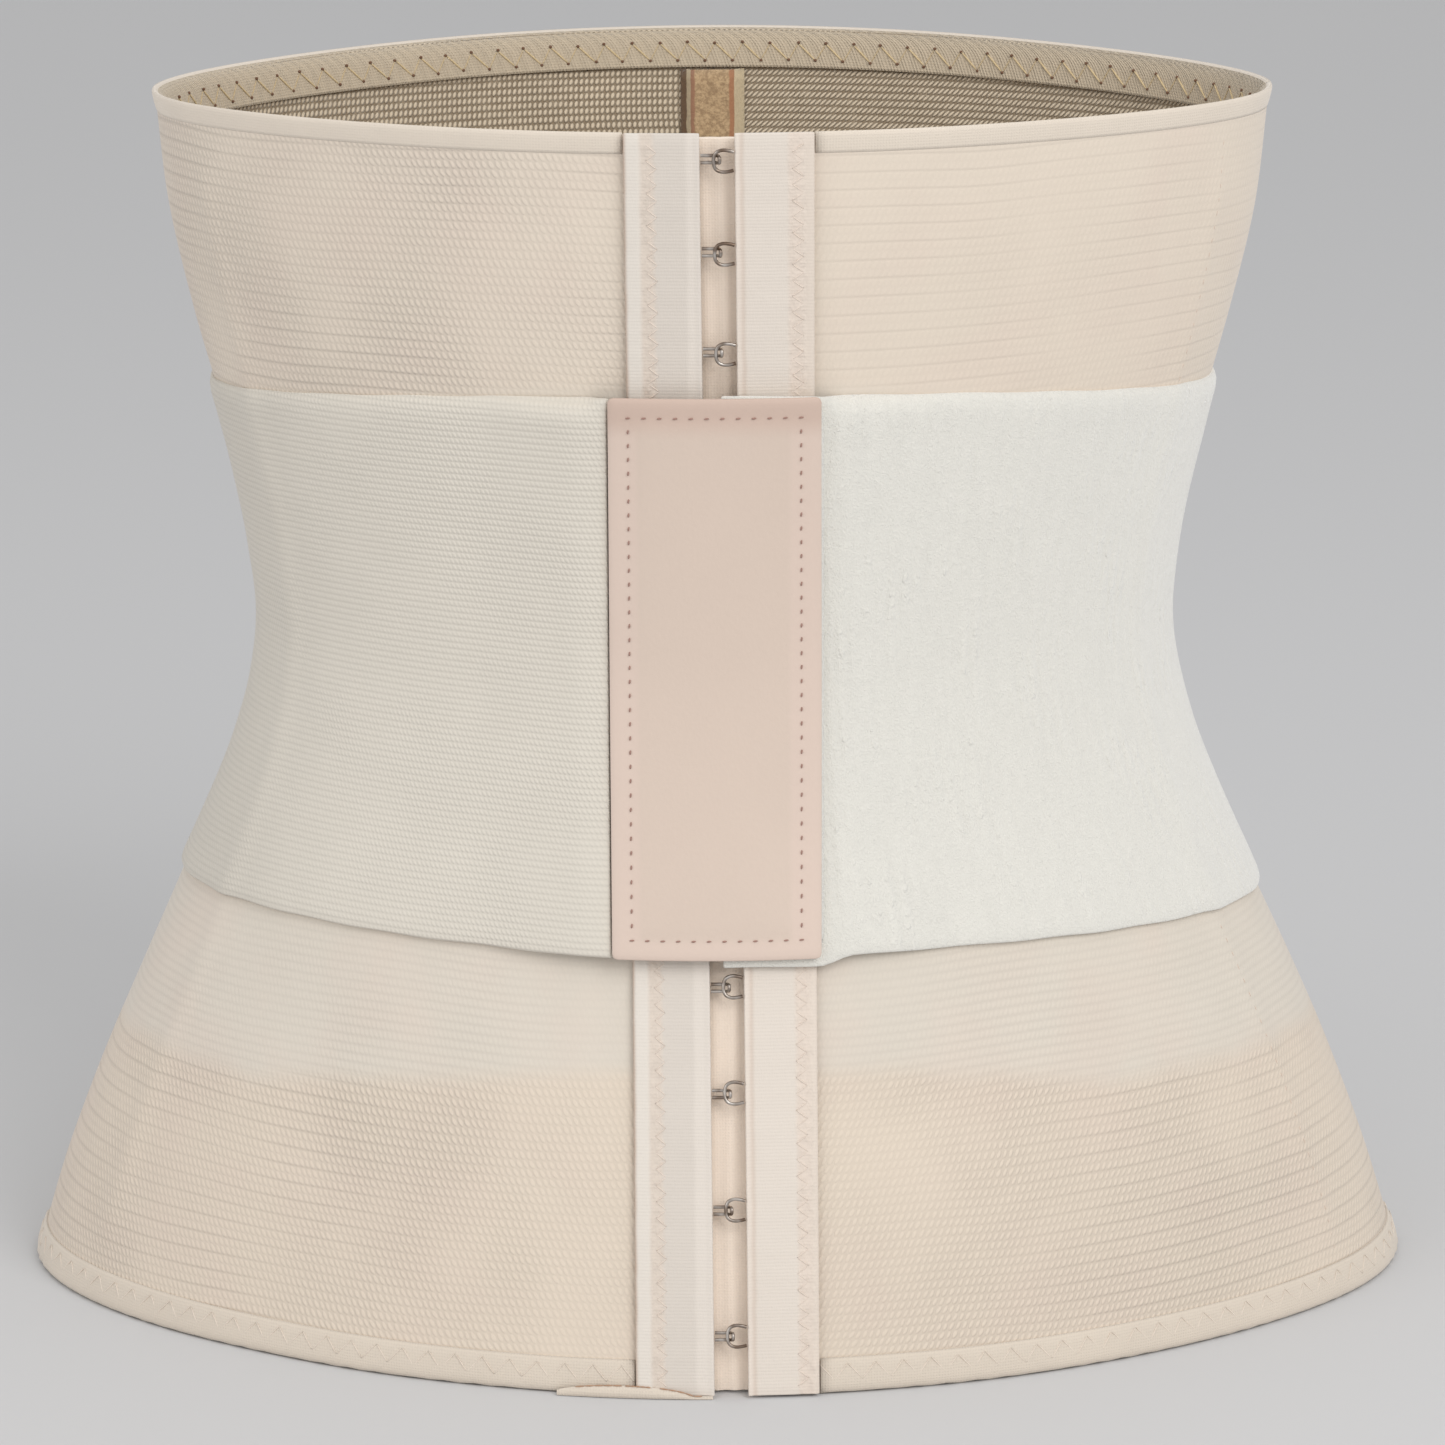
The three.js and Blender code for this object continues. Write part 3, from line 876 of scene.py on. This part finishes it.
def addBinding(name, replaced, startAngle, endAngle, isTop, flatFrom):
    steps = binding["sectionSteps"]
    outline, wholeLength = smoothOutline(topFold if isTop else hemFold, steps)
    columns = len(evenAngles(startAngle(0), endAngle(0), 150 * mm, binding["spacing"]))

    def place(across, up):
        offset, fromEdge = outline[round(up * steps)]
        near = mixNumbers(startAngle(frontTop), endAngle(frontTop), across)
        height = topEdge(near) - fromEdge if isTop else fromEdge
        angle = mixNumbers(startAngle(height), endAngle(height), across)
        puckers = 0 if isTop else binding["scallop"]
        ripple = math.sin(angle * 150) * (1 - smoothStep(fromEdge, 2 * mm, 9 * mm))
        point = bodyPoint(angle, height, offset + ripple * puckers)
        if not isTop:
            point.z += binding["scallop"] * (1 + ripple) * (1 - smoothStep(fromEdge, 0, 4 * mm))
        return point, up * wholeLength

    piece = clothSheet(name, columns, steps, place, flatFrom)
    piece.data.materials.append(topBinding if isTop else hemBinding)
    piece.data.materials.append(bindingInner)
    for polygon in piece.data.polygons:
        offset = outline[polygon.index // columns][0]
        polygon.material_index = 1 if offset < -0.3 * mm else 0
    thicken(piece, binding["sheet"])
    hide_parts(replaced)
    return piece


leftTapeEdge = lambda height: frontAngle(tapeEdge(-1, height) - 0.3 * mm, height)
rightTapeEdge = lambda height: frontAngle(tapeEdge(1, height) + 0.3 * mm, height)
# The long part of each binding runs from the right side round the back to the hook tape.
longRun = (lambda height: -math.pi, leftTapeEdge)
shortRun = (rightTapeEdge, lambda height: math.pi)
hemLeft = addBinding("hem_binding_long", "hem_binding", *longRun, False, "end")
hemRight = addBinding("hem_binding_short", "hem_binding_right_front", *shortRun, False, "start")
topLeft = addBinding("top_binding_long", "top_binding", *longRun, True, "end")
topRight = addBinding("top_binding_short", "top_binding_right_front", *shortRun, True, "start")
for piece in (hemLeft, topLeft):
    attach(piece, "root")
for piece in (hemRight, topRight):
    blendRight(piece)

print("closing the front with tapes, hooks and eyes")

tape = {
    "columns": 30,
    "rows": 110,
    "face": 1.5 * mm,
    "sheet": 0.9 * mm,
    "edgeRoll": 1.2 * mm,
    "rollRise": 0.35 * mm,
    "hookFold": (4 * mm, 0.4 * mm),       # width and rise of each tape's folded strip
    "eyeFold": (1.8 * mm, 0.2 * mm),
    "rimDrop": 0.35 * mm,
    "rimWidth": 0.7 * mm,
    "ripple": 0.08 * mm,
    "softRim": 0.25 * mm,
}


def tapeRelief(distance, width, foldFirst):
    # a rolled edge by the gap, and a folded strip along the outer edge
    fromOuter = distance if foldFirst else width - distance
    fromGap = width - fromOuter
    roll = tape["rollRise"] * math.cos(min(fromGap / tape["edgeRoll"], 1) * front)
    foldWidth, rise = tape["hookFold" if foldFirst else "eyeFold"]
    fold = rise * (1 - smoothStep(fromOuter, foldWidth - 0.4 * mm, foldWidth + 0.2 * mm))
    edge = tape["rimDrop"] * (1 - smoothStep(fromOuter, 0, tape["rimWidth"]))
    return roll + fold - edge


def addTape(name, replaced, side, finish):
    def place(across, up):
        height = mixNumbers(closure["bottom"], closure["top"], up)
        inner = closureLine(height) + side * closure["halfGap"]
        outer = tapeEdge(side, height)
        first, last = (outer, inner) if side < 0 else (inner, outer)
        x = mixNumbers(first, last, across)
        rise = tapeRelief(x - first, last - first, side < 0)
        ripple = tape["ripple"] * math.sin(height * 900 + side)
        return bodyPoint(frontAngle(x, height), height, tape["face"] + rise + ripple), height

    piece = clothSheet(name, tape["columns"], tape["rows"], place)
    dressCloth(piece, finish, tape["sheet"], tape["softRim"])
    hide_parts(replaced)
    return piece


hookTape = addTape("hook_tape_cloth", "hook_tape", -1, hookTapeCloth)
eyeTape = addTape("eye_tape_cloth", "eye_tape", 1, eyeTapeCloth)
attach(hookTape, "root")
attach(eyeTape, "right_front")

underlay = {
    "half": 13 * mm,
    "face": -2.3 * mm,
    "fold": 0.2 * mm,
    "sheet": 1.2 * mm,
    "columns": 34,
    "rows": 90,
}


def underlayPlace(across, up):
    height = mixNumbers(closure["bottom"], frontTop - 1.6 * mm, up)
    x = closureLine(height) + mixNumbers(-underlay["half"], underlay["half"], across)
    fold = underlay["fold"] * math.sin(across * 38 + math.sin(height * 45))
    return bodyPoint(frontAngle(x, height), height, underlay["face"] + fold), height


underlayPiece = clothSheet(
    "closure_underlay_cloth", underlay["columns"], underlay["rows"], underlayPlace
)
dressCloth(underlayPiece, underlayCloth, underlay["sheet"], tape["softRim"])
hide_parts("closure_underlay")
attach(underlayPiece, "root")

# Each wire is drawn flat: across from the closure line, out of the body, and up.
hook = {
    "radius": 0.42 * mm,
    "half": 0.85 * mm,
    "start": -3.8 * mm,
    "low": 0.5 * mm,
    "reach": 0.6 * mm,
    "tip": 1.75 * mm,
}
eye = {
    "radius": 0.42 * mm,
    "half": 2.75 * mm,
    "out": 1.6 * mm,
    "start": 3.8 * mm,
    "reach": -0.95 * mm,
}
hookSide = [
    (hook["start"], hook["low"], hook["half"]),
    (hook["reach"] - 1.1 * mm, hook["low"], hook["half"]),
    (hook["reach"] - 0.3 * mm, hook["low"] + 0.25 * mm, hook["half"]),
    (hook["reach"], hook["tip"], hook["half"] * 0.75),
]
eyeSide = [
    (eye["start"], eye["out"], eye["half"] * 0.8),
    (eye["start"] * 0.5, eye["out"], eye["half"]),
    (0, eye["out"], eye["half"] * 0.86),
    (eye["reach"] * 0.85, eye["out"], eye["half"] * 0.42),
]


def addWire(name, side, radius, body):
    low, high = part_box(name)
    level = (low.z + high.z) / 2
    line = closureLine(level)
    base = bodyPoint(frontAngle(line, level), level, 0)
    up = bodyPoint(frontAngle(line, level + mm), level + mm, 0) - base
    up = Vector((0, up.y, up.z)).normalized()
    outward = Vector((1, 0, 0)).cross(up)         # which is the way out at the front
    points = [*side, *[(x, out, -height) for x, out, height in reversed(side)]]
    wire = bpy.data.curves.new(f"{name}_wire", "CURVE")
    wire.dimensions = "3D"
    wire.bevel_depth = radius
    wire.bevel_resolution = 3
    wire.resolution_u = 6
    wire.use_fill_caps = True
    spline = wire.splines.new("NURBS")
    spline.points.add(len(points) - 1)
    spline.order_u = 3
    spline.use_endpoint_u = True
    for knot, (x, out, height) in zip(spline.points, points):
        knot.co = (*(base + Vector((x, 0, 0)) + outward * out + up * height), 1)
    piece = bpy.data.objects.new(f"{name}_wire", wire)
    bpy.context.scene.collection.objects.link(piece)
    wire.materials.append(hookSteel)
    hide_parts(name)
    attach(piece, body)


for name in sorted(nodes):
    if name.startswith(("hook_0", "hook_1")):
        addWire(name, hookSide, hook["radius"], "root")
    if name.startswith(("eye_0", "eye_1")):
        addWire(name, eyeSide, eye["radius"], "right_front")
    if name.startswith("steel_bone"):
        nodes[name].data.materials.clear()
        nodes[name].data.materials.append(boneSteel)

# A short roll of the hem binding comes forward under the hook tape.
hemRoll = {
    "left": -38 * mm,
    "right": -1 * mm,
    "bottom": 0.15 * mm,
    "height": 3 * mm,
    "face": 2.0 * mm,
    "swell": 0.7 * mm,
    "sheet": 0.6 * mm,
    "columns": 40,
    "rows": 8,
}


def hemRollPlace(across, up):
    x = mixNumbers(hemRoll["left"], hemRoll["right"], across)
    full = math.sin(math.pi * min(across * 1.15 + 0.02, 1)) ** 0.5
    height = hemRoll["bottom"] + hemRoll["height"] * (0.25 + 0.75 * full) * up
    offset = hemRoll["face"] + hemRoll["swell"] * math.sin(math.pi * up) * full
    return bodyPoint(frontAngle(x, height), height, offset), height


rollPiece = clothSheet("hem_roll", hemRoll["columns"], hemRoll["rows"], hemRollPlace)
dressCloth(rollPiece, hemBinding, hemRoll["sheet"], 0.2 * mm)
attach(rollPiece, "root")

print("sewing in the bone channels")

channel = {
    "width": 12 * mm,
    "centreWidth": 17 * mm,
    "edgeFace": -2.3 * mm,
    "midFace": -4.9 * mm,
    "sheet": 0.4 * mm,
    "columns": 18,
    "rows": 90,
    "bottom": 11 * mm,
}


def channelAngle(place, height):
    if place == "front_left":
        return frontAngle(-frontChannelX, height)
    if place == "front_right":
        return frontAngle(frontChannelX, height)
    return math.radians(channelAngles[place])


def addChannel(name):
    width = channel["centreWidth"] if name == "centre_back" else channel["width"]
    top = topEdge(channelAngle(name, frontTop)) - channel["bottom"]

    def place(across, up):
        height = mixNumbers(channel["bottom"], top, up)
        angle = channelAngle(name, height)
        aside = (0.5 - across) * width
        raised = 1 - smoothStep(abs(aside), width * 0.34, width * 0.44)
        offset = mixNumbers(channel["edgeFace"], channel["midFace"], raised)
        reach = surfaceAt(angle, height)[2]
        return bodyPoint(angle + aside / reach, height, offset), height

    piece = clothSheet(f"channel_{name}", channel["columns"], channel["rows"], place)
    dressCloth(piece, centreVelvet if name == "centre_back" else velvet, channel["sheet"])
    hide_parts(f"bone_channel_{name}")
    return piece


channelPieces = {}
for name in [*channelAngles, "front_left", "front_right"]:
    channelPieces[name] = addChannel(name)
    if name == "side_right":
        blendRight(channelPieces[name])
    elif name == "front_right":
        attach(channelPieces[name], "right_front")
    else:
        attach(channelPieces[name], "root")

bendingBone = {
    "width": 7 * mm,
    "sheet": 0.8 * mm,
    "middle": -3.2 * mm,
    "endGap": 15 * mm,
    "columns": 4,
    "rows": 60,
}


def bonePlace(across, up):
    height = mixNumbers(bendingBone["endGap"], frontTop - bendingBone["endGap"], up)
    angle = channelAngle("side_right", height)
    aside = (across - 0.5) * bendingBone["width"]
    face = bendingBone["middle"] + bendingBone["sheet"] / 2
    return bodyPoint(angle + aside / surfaceAt(angle, height)[2], height, face), height


sideBone = clothSheet(
    "steel_bone_bending", bendingBone["columns"], bendingBone["rows"], bonePlace
)
dressCloth(sideBone, boneSteel, bendingBone["sheet"])
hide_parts("steel_bone_side_right")
blendRight(sideBone)

print("wrapping the two straps")

patchLow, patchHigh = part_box("patch_cover")
sideLow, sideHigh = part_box("left_strap_back")
strap = {
    "bottom": (sideLow.z, patchLow.z),      # at the side and at the front
    "top": (sideHigh.z, patchHigh.z),
    "leftRaise": 6 * mm,          # the left strap is narrower at the side, from below
    "knitSheet": 1.4 * mm,
    "plushSheet": 1.6 * mm,
    "lowLift": 0.5 * mm,
    "plushLift": 2.7 * mm,
    "knitLift": 4.0 * mm,
    "liftZone": (26 * mm, 58 * mm),
    # beyond the tapes the top edge is pulled down onto the knit
    "meltZone": (24 * mm, 30 * mm),
    "meltWidth": 3.5 * mm,
    "meltFace": 0.9 * mm,
    "tabDrop": 2.2 * mm,          # how far the right strap's end reaches below its edge
    "tabZone": (20 * mm, 27 * mm),
    "edgeWave": 0.1 * mm,
    "pucker": 0.12 * mm,
    "rimDrop": 0.3 * mm,
    "rimWidth": 1.5 * mm,
    "knitEnd": patchLow.x - 0.3 * mm,
    "backEnd": 34 * mm,
    "plushEnd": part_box("right_strap_front")[0].x,
    "plushCut": 256 * mm,         # the length of the cut cloth
    "rows": 60,
    "columns": 150,
}


def strapEdges(angle, side):
    # where a strap's two long edges are, between the side and the front of the body
    ahead = max(0, math.sin(angle)) ** 2
    low, high = (mixNumbers(*strap[edge], ahead) for edge in ("bottom", "top"))
    if side < 0:
        low += strap["leftRaise"] * (1 - ahead)
    elif math.sin(angle) > 0:
        middle = (patchLow.z + patchHigh.z) / 2
        low -= strap["tabDrop"] * (1 - smoothStep(surfaceAt(angle, middle)[0].x, *strap["tabZone"]))
    low += strap["edgeWave"] * math.sin(angle * 31 + side)
    high += strap["edgeWave"] * math.sin(angle * 27 + 2)
    return low, high


def strapPlace(startAngle, endAngle, highLift, sheet, side):
    def place(across, up):
        middle = (patchLow.z + patchHigh.z) / 2
        near = mixNumbers(startAngle(middle), endAngle(middle), across)
        low, high = strapEdges(near, side)
        height = mixNumbers(low, high, up)
        angle = mixNumbers(startAngle(height), endAngle(height), across)
        point = surfaceAt(angle, height)[0]
        lift = strap["lowLift"]
        overKnit = 1
        if math.sin(angle) > 0:
            lift = mixNumbers(highLift, lift, smoothStep(abs(point.x), *strap["liftZone"]))
            overKnit = smoothStep(abs(point.x), *strap["meltZone"])
        fromEdge = min(up, 1 - up) * (high - low)
        fromTop = (1 - up) * (high - low)
        rolled = strap["rimDrop"] * (1 - smoothStep(fromEdge, 0, strap["rimWidth"]))
        melted = (1 - smoothStep(fromTop, 0, strap["meltWidth"])) * overKnit
        rolled += max(lift + sheet - strap["meltFace"], 0) * melted
        pucker = strap["pucker"] * noise.noise(Vector((point.x * 60, point.y * 60, height * 90)))
        return bodyPoint(angle, height, lift + sheet - rolled + pucker), height
    return place


def behind(height):
    # how far round from the middle of the back a strap is sewn down
    return front - frontAngle(-strap["backEnd"], height)


leftStrap = clothSheet(
    "left_strap_cloth", strap["columns"], strap["rows"],
    strapPlace(
        lambda height: -front + behind(height),
        lambda height: frontAngle(strap["knitEnd"], height),
        strap["knitLift"], strap["knitSheet"], -1,
    ), "end",
)
dressCloth(leftStrap, strapKnit, strap["knitSheet"], 0.4 * mm)
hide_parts("left_strap_front", "left_strap_back")
blendLeftStrap(leftStrap)

rightStrap = clothSheet(
    "right_strap_plush", strap["columns"], strap["rows"],
    strapPlace(
        lambda height: frontAngle(strap["plushEnd"], height),
        lambda height: 3 * front - behind(height),
        strap["plushLift"], strap["plushSheet"], 1,
    ), "start", strap["plushCut"],
)
dressCloth(rightStrap, plush, strap["plushSheet"], 0.5 * mm)
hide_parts("right_strap_front", "right_strap_back")
blendRight(rightStrap)

print("laying the patch over the front")

patch = {
    "corner": 1.1 * mm,
    "cover": 1.2 * mm,
    "coverFace": 6.9 * mm,
    "padFace": 5.4 * mm,
    "pad": 0.8 * mm,
    "stitchInset": 4.7 * mm,
    "puff": 0.15 * mm,            # the cover is fuller inside its stitches
    "puffWidth": 4 * mm,
    "groove": 0.9 * mm,
    "rimDrop": 0.3 * mm,
    "rimWidth": 1.2 * mm,
    "bendWidth": 18 * mm,         # the part that bends when the patch is peeled
    "columns": 36,
    "rows": 100,
    "padColumns": 24,
    "padRows": 60,
}


def blendPatch(piece):
    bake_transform(piece)


def roundCorners(x, z, low, high, corner):
    # moves a point of a square grid so that the outline's corners are round
    nearX = min(max(x, low.x + corner), high.x - corner)
    nearZ = min(max(z, low.z + corner), high.z - corner)
    asideX, asideZ = x - nearX, z - nearZ
    if asideX == 0 or asideZ == 0:
        return x, z
    shrink = max(abs(asideX), abs(asideZ)) / math.hypot(asideX, asideZ)
    return nearX + asideX * shrink, nearZ + asideZ * shrink


def patchPlace(low, high, face, puff):
    def place(across, up):
        x, z = mixNumbers(low.x, high.x, across), mixNumbers(low.z, high.z, up)
        fromEdge = min(x - low.x, high.x - x, z - low.z, high.z - z)
        x, z = roundCorners(x, z, low, high, patch["corner"])
        fromStitches = fromEdge - patch["stitchInset"]
        inside = smoothStep(fromStitches, 0, patch["puffWidth"])
        groove = math.exp(-((fromStitches / patch["groove"]) ** 2))
        rolled = patch["rimDrop"] * (1 - smoothStep(fromEdge, 0, patch["rimWidth"]))
        offset = face + puff * (inside - groove) - rolled
        return bodyPoint(frontAngle(x, z), z, offset), z
    return place


cover = clothSheet(
    "patch_cover_cloth", patch["columns"], patch["rows"],
    patchPlace(patchLow, patchHigh, patch["coverFace"] - patch["puff"], patch["puff"]), "start",
)
dressCloth(cover, patchCloth, patch["cover"], 0.35 * mm)
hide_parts("patch_cover")
blendPatch(cover)

padLow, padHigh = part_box("patch_hook_pad")
hookPad = clothSheet(
    "patch_hook_cloth", patch["padColumns"], patch["padRows"],
    patchPlace(padLow, padHigh, patch["padFace"], 0), "start",
)
dressCloth(hookPad, plush, patch["pad"])
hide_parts("patch_hook_pad")
blendPatch(hookPad)

print("stitching")

seams = {
    "radius": 0.2 * mm,
    "hemPitch": 3.4 * mm,
    "hemLow": 3.6 * mm,
    "hemHigh": 7.6 * mm,
    "rimPeriod": 7.4 * mm,
    "rimStroke": 4.9 * mm,
    "rimLow": 4.2 * mm,
    "rimHigh": 8.7 * mm,
    "tapePitch": 1.9 * mm,
    "dashPitch": 3.4 * mm,
    "dash": 0.85 * mm,
    "dashTilt": 0.12,
    "hookTape": (5.2 * mm, 7.6 * mm),     # in from each tape's outer edge
    "eyeTape": (2.6 * mm, 5.2 * mm),
    "hole": (0.5 * mm, 0.3 * mm, 0.42 * mm, 1),
    "sewnInset": (3 * mm, 6.5 * mm),      # from a strap's end at the back
    "sewnPitch": 3.2 * mm,
    "sewnLength": 2.2 * mm,
}


def stitchPiece(name, material, fill):
    work = bmesh.new()
    fill(work)
    piece = finishMesh(work, name)
    piece.data.materials.append(material)
    return piece


def hemStitches(startAngle, endAngle):
    def fill(work):
        angles = evenAngles(startAngle(0), endAngle(0), 7 * mm, seams["hemPitch"])
        face = binding["outFace"] - seams["radius"] * 0.15
        lowPoint = lambda angle: bodyPoint(angle, seams["hemLow"], face)
        highPoint = lambda angle: bodyPoint(angle, seams["hemHigh"], face)
        zigzag(work, angles, lowPoint, highPoint, seams["radius"] * 0.75)
    return fill


def rimAngles(startAngle, endAngle):
    return evenAngles(startAngle(frontTop), endAngle(frontTop), 290 * mm, seams["rimPeriod"])


def rimEnds(angle):
    # one slanted stroke, high at its first end
    reach = surfaceAt(angle, frontTop)[2]
    face = binding["inFace"] - seams["radius"] * 0.4
    last = angle - seams["rimStroke"] / reach
    top = bodyPoint(angle, topEdge(angle) - seams["rimLow"], face)
    bottom = bodyPoint(last, topEdge(last) - seams["rimHigh"], face)
    return top, bottom


def rimStitches(startAngle, endAngle):
    def fill(work):
        angles = rimAngles(startAngle, endAngle)[1:]
        for index, angle in enumerate(angles):
            top, bottom = rimEnds(angle)
            addStitch(work, top, bottom, seams["radius"] * 1.3)
            if index:
                before = rimEnds(angles[index - 1])[0]
                addStitch(work, before, bottom, seams["radius"] * 0.6)
    return fill


def rimHoleShade(startAngle, endAngle):
    # dark discs at both ends of each stitch: painted shade inside the needle holes
    def fill(work):
        for angle in rimAngles(startAngle, endAngle)[1:]:
            for end in rimEnds(angle):
                nudge = Vector((chance.uniform(-0.2, 0.2), 0, chance.uniform(-0.2, 0.2))) * mm
                spot = Matrix.Translation(end + nudge) @ Matrix.Diagonal(seams["hole"])
                bmesh.ops.create_uvsphere(work, u_segments=6, v_segments=4, radius=1, matrix=spot)
    return fill


stitchRuns = {"long": longRun, "short": shortRun}
for side, (startAngle, endAngle) in stitchRuns.items():
    hem = stitchPiece(f"hem_zigzag_{side}", paleThread, hemStitches(startAngle, endAngle))
    rim = stitchPiece(f"rim_zigzag_{side}", goldThread, rimStitches(startAngle, endAngle))
    holes = stitchPiece(f"rim_hole_shade_{side}", holeShadow, rimHoleShade(startAngle, endAngle))
    for piece in (hem, rim, holes):
        if side == "long":
            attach(piece, "root")
        else:
            blendRight(piece)


def patchDashes(work):
    inset = patch["stitchInset"]
    left, right = patchLow.x + inset, patchHigh.x - inset
    low, high = patchLow.z + inset, patchHigh.z - inset
    face = patch["coverFace"] - patch["puff"] * 0.6

    def dash(x, z, alongX, alongZ):
        half = seams["dash"] / 2
        turnX = alongX + alongZ * seams["dashTilt"]
        turnZ = alongZ + alongX * seams["dashTilt"]
        places = [(x + turnX * way, z + turnZ * way) for way in (-half, half)]
        frontStitch(work, places, face, seams["radius"] * 1.25)

    countX = round((right - left) / seams["dashPitch"])
    countZ = round((high - low) / seams["dashPitch"])
    for index in range(countX + 1):
        x = mixNumbers(left, right, index / countX)
        dash(x, low, 1, 0)
        dash(x, high, 1, 0)
    for index in range(1, countZ):
        z = mixNumbers(low, high, index / countZ)
        dash(left, z, 0, 1)
        dash(right, z, 0, 1)


dashes = stitchPiece("patch_stitches", mauveThread, patchDashes)
blendPatch(dashes)


def tapeStitches(side, distances):
    def fill(work):
        height = closure["bottom"] + 2 * mm
        index = 0
        while height < frontTop - closure["bottom"] - 3 * mm:
            first, second = distances if index % 2 else distances[::-1]
            above = height + seams["tapePitch"]
            places = [
                (tapeEdge(side, height) - side * first, height),
                (tapeEdge(side, above) - side * second, above),
            ]
            frontStitch(work, places, tape["face"] + 0.02 * mm, seams["radius"] * 0.8)
            height = above
            index += 1
    return fill


hookTapeStitches = stitchPiece(
    "hook_tape_zigzag", tapeThread, tapeStitches(-1, seams["hookTape"])
)
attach(hookTapeStitches, "root")
eyeTapeStitches = stitchPiece(
    "eye_tape_zigzag", tapeThread, tapeStitches(1, seams["eyeTape"])
)
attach(eyeTapeStitches, "right_front")


def sewnEnd(side):
    # two upright rows of stitches where a strap is sewn down at the back
    def fill(work):
        face = strap["lowLift"] + (strap["knitSheet"] if side < 0 else strap["plushSheet"])
        for inset in seams["sewnInset"]:
            height = strap["bottom"][0] + 4 * mm + (strap["leftRaise"] if side < 0 else 0)
            while height < strap["top"][0] - 4 * mm:
                ends = []
                for level in (height, height + seams["sewnLength"]):
                    x = strap["backEnd"] + inset
                    angle = -front - side * (frontAngle(x, level) - front)
                    ends.append(bodyPoint(angle, level, face))
                addStitch(work, ends[0], ends[1], seams["radius"])
                height += seams["sewnPitch"]
    return fill


strapEnds = {
    "left_strap_stitches": (-1, "strap_knit"),
    "right_strap_stitches": (1, "strap_plush"),
}
for name, (side, slotName) in strapEnds.items():
    sewn = stitchPiece(name, seamThread, sewnEnd(side))
    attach(sewn, "root")


def sideSeam(work):
    # the bone channel's outer row of stitches on the right side, above and below the strap
    angle = math.radians(channelAngles["side_right"])
    for bottom, top in ((12 * mm, strap["bottom"][0] - 2 * mm), (strap["top"][0] + 2 * mm, 290 * mm)):
        height = bottom
        while height < top:
            length = seams["dash"] * chance.uniform(0.9, 1.6)
            ends = [bodyPoint(angle, level, -0.05 * mm) for level in (height, height + length)]
            addStitch(work, ends[0], ends[1], seams["radius"] * 0.75)
            height += seams["dashPitch"]


sideStitches = stitchPiece("side_seam_right", seamThread, sideSeam)
blendRight(sideStitches)


def hemRollStitches(work):
    for first, last in ((0.12, 0.42), (0.44, 0.6), (0.66, 0.93)):
        steps = 5
        for index in range(steps):
            ends = []
            for share in (index / steps, (index + 1) / steps):
                across = mixNumbers(first, last, share)
                ends.append(hemRollPlace(across, 0.97)[0] + Vector((0, -0.1 * mm, 0.1 * mm)))
            addStitch(work, ends[0], ends[1], seams["radius"])


rollStitches = stitchPiece("hem_roll_stitches", brownThread, hemRollStitches)
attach(rollStitches, "root")

for name, piece in channelPieces.items():
    width = channel["centreWidth"] if name == "centre_back" else channel["width"]
    width + 2 * mm

print("setting the floor, the light and the camera")

stage = {
    "floor": 6.0,
    "floorColour": (206, 206, 207),
    "world": 0.70,
    "aim": Vector((0, 0, 0.15)),
    "cameraPlace": (1.9 * mm, -1.3, 0.4527),
    "pitch": 13.6,                # in degrees, as the roll is
    "roll": -0.246,
    "lens": 131.6,
    "sensor": 36,
}
lights = {
    "key_light": {"place": (1.0, -1.5, 1.3), "energy": 20, "size": 1.2},
    "fill_light": {"place": (-1.4, -1.2, 0.8), "energy": 7.5, "size": 1.4},
}

floorWork = bmesh.new()
floorLevel = Matrix.Translation((0, 0, cadLow.z))
bmesh.ops.create_grid(floorWork, x_segments=2, y_segments=2, size=stage["floor"], matrix=floorLevel)
floorPiece = finishMesh(floorWork, "floor", False)
floorPaint = Finish("floor", 0.9)
floorPiece.data.materials.append(floorPaint.paint(stage["floorColour"]))

world = bpy.data.worlds.new("studio")
bpy.context.scene.world = world
world.use_nodes = True
background = world.node_tree.nodes["Background"]
background.inputs["Color"].default_value = (1, 1, 1, 1)
background.inputs["Strength"].default_value = stage["world"]

for name, light in lights.items():
    lamp = bpy.data.lights.new(name, "AREA")
    lamp.energy = light["energy"]
    lamp.size = light["size"]
    holder = bpy.data.objects.new(name, lamp)
    holder.location = light["place"]
    aim = stage["aim"] - Vector(light["place"])
    holder.rotation_euler = aim.to_track_quat("-Z", "Y").to_euler()
    bpy.context.scene.collection.objects.link(holder)

lensData = bpy.data.cameras.new("camera")
lensData.lens = stage["lens"]
lensData.sensor_width = stage["sensor"]
camera = bpy.data.objects.new("camera", lensData)
turn = Matrix.Rotation(math.radians(90 - stage["pitch"]), 4, "X")
turn = turn @ Matrix.Rotation(math.radians(stage["roll"]), 4, "Z")
camera.matrix_world = Matrix.Translation(stage["cameraPlace"]) @ turn
bpy.context.scene.collection.objects.link(camera)
bpy.context.scene.camera = camera
bpy.context.scene.view_settings.view_transform = "Standard"
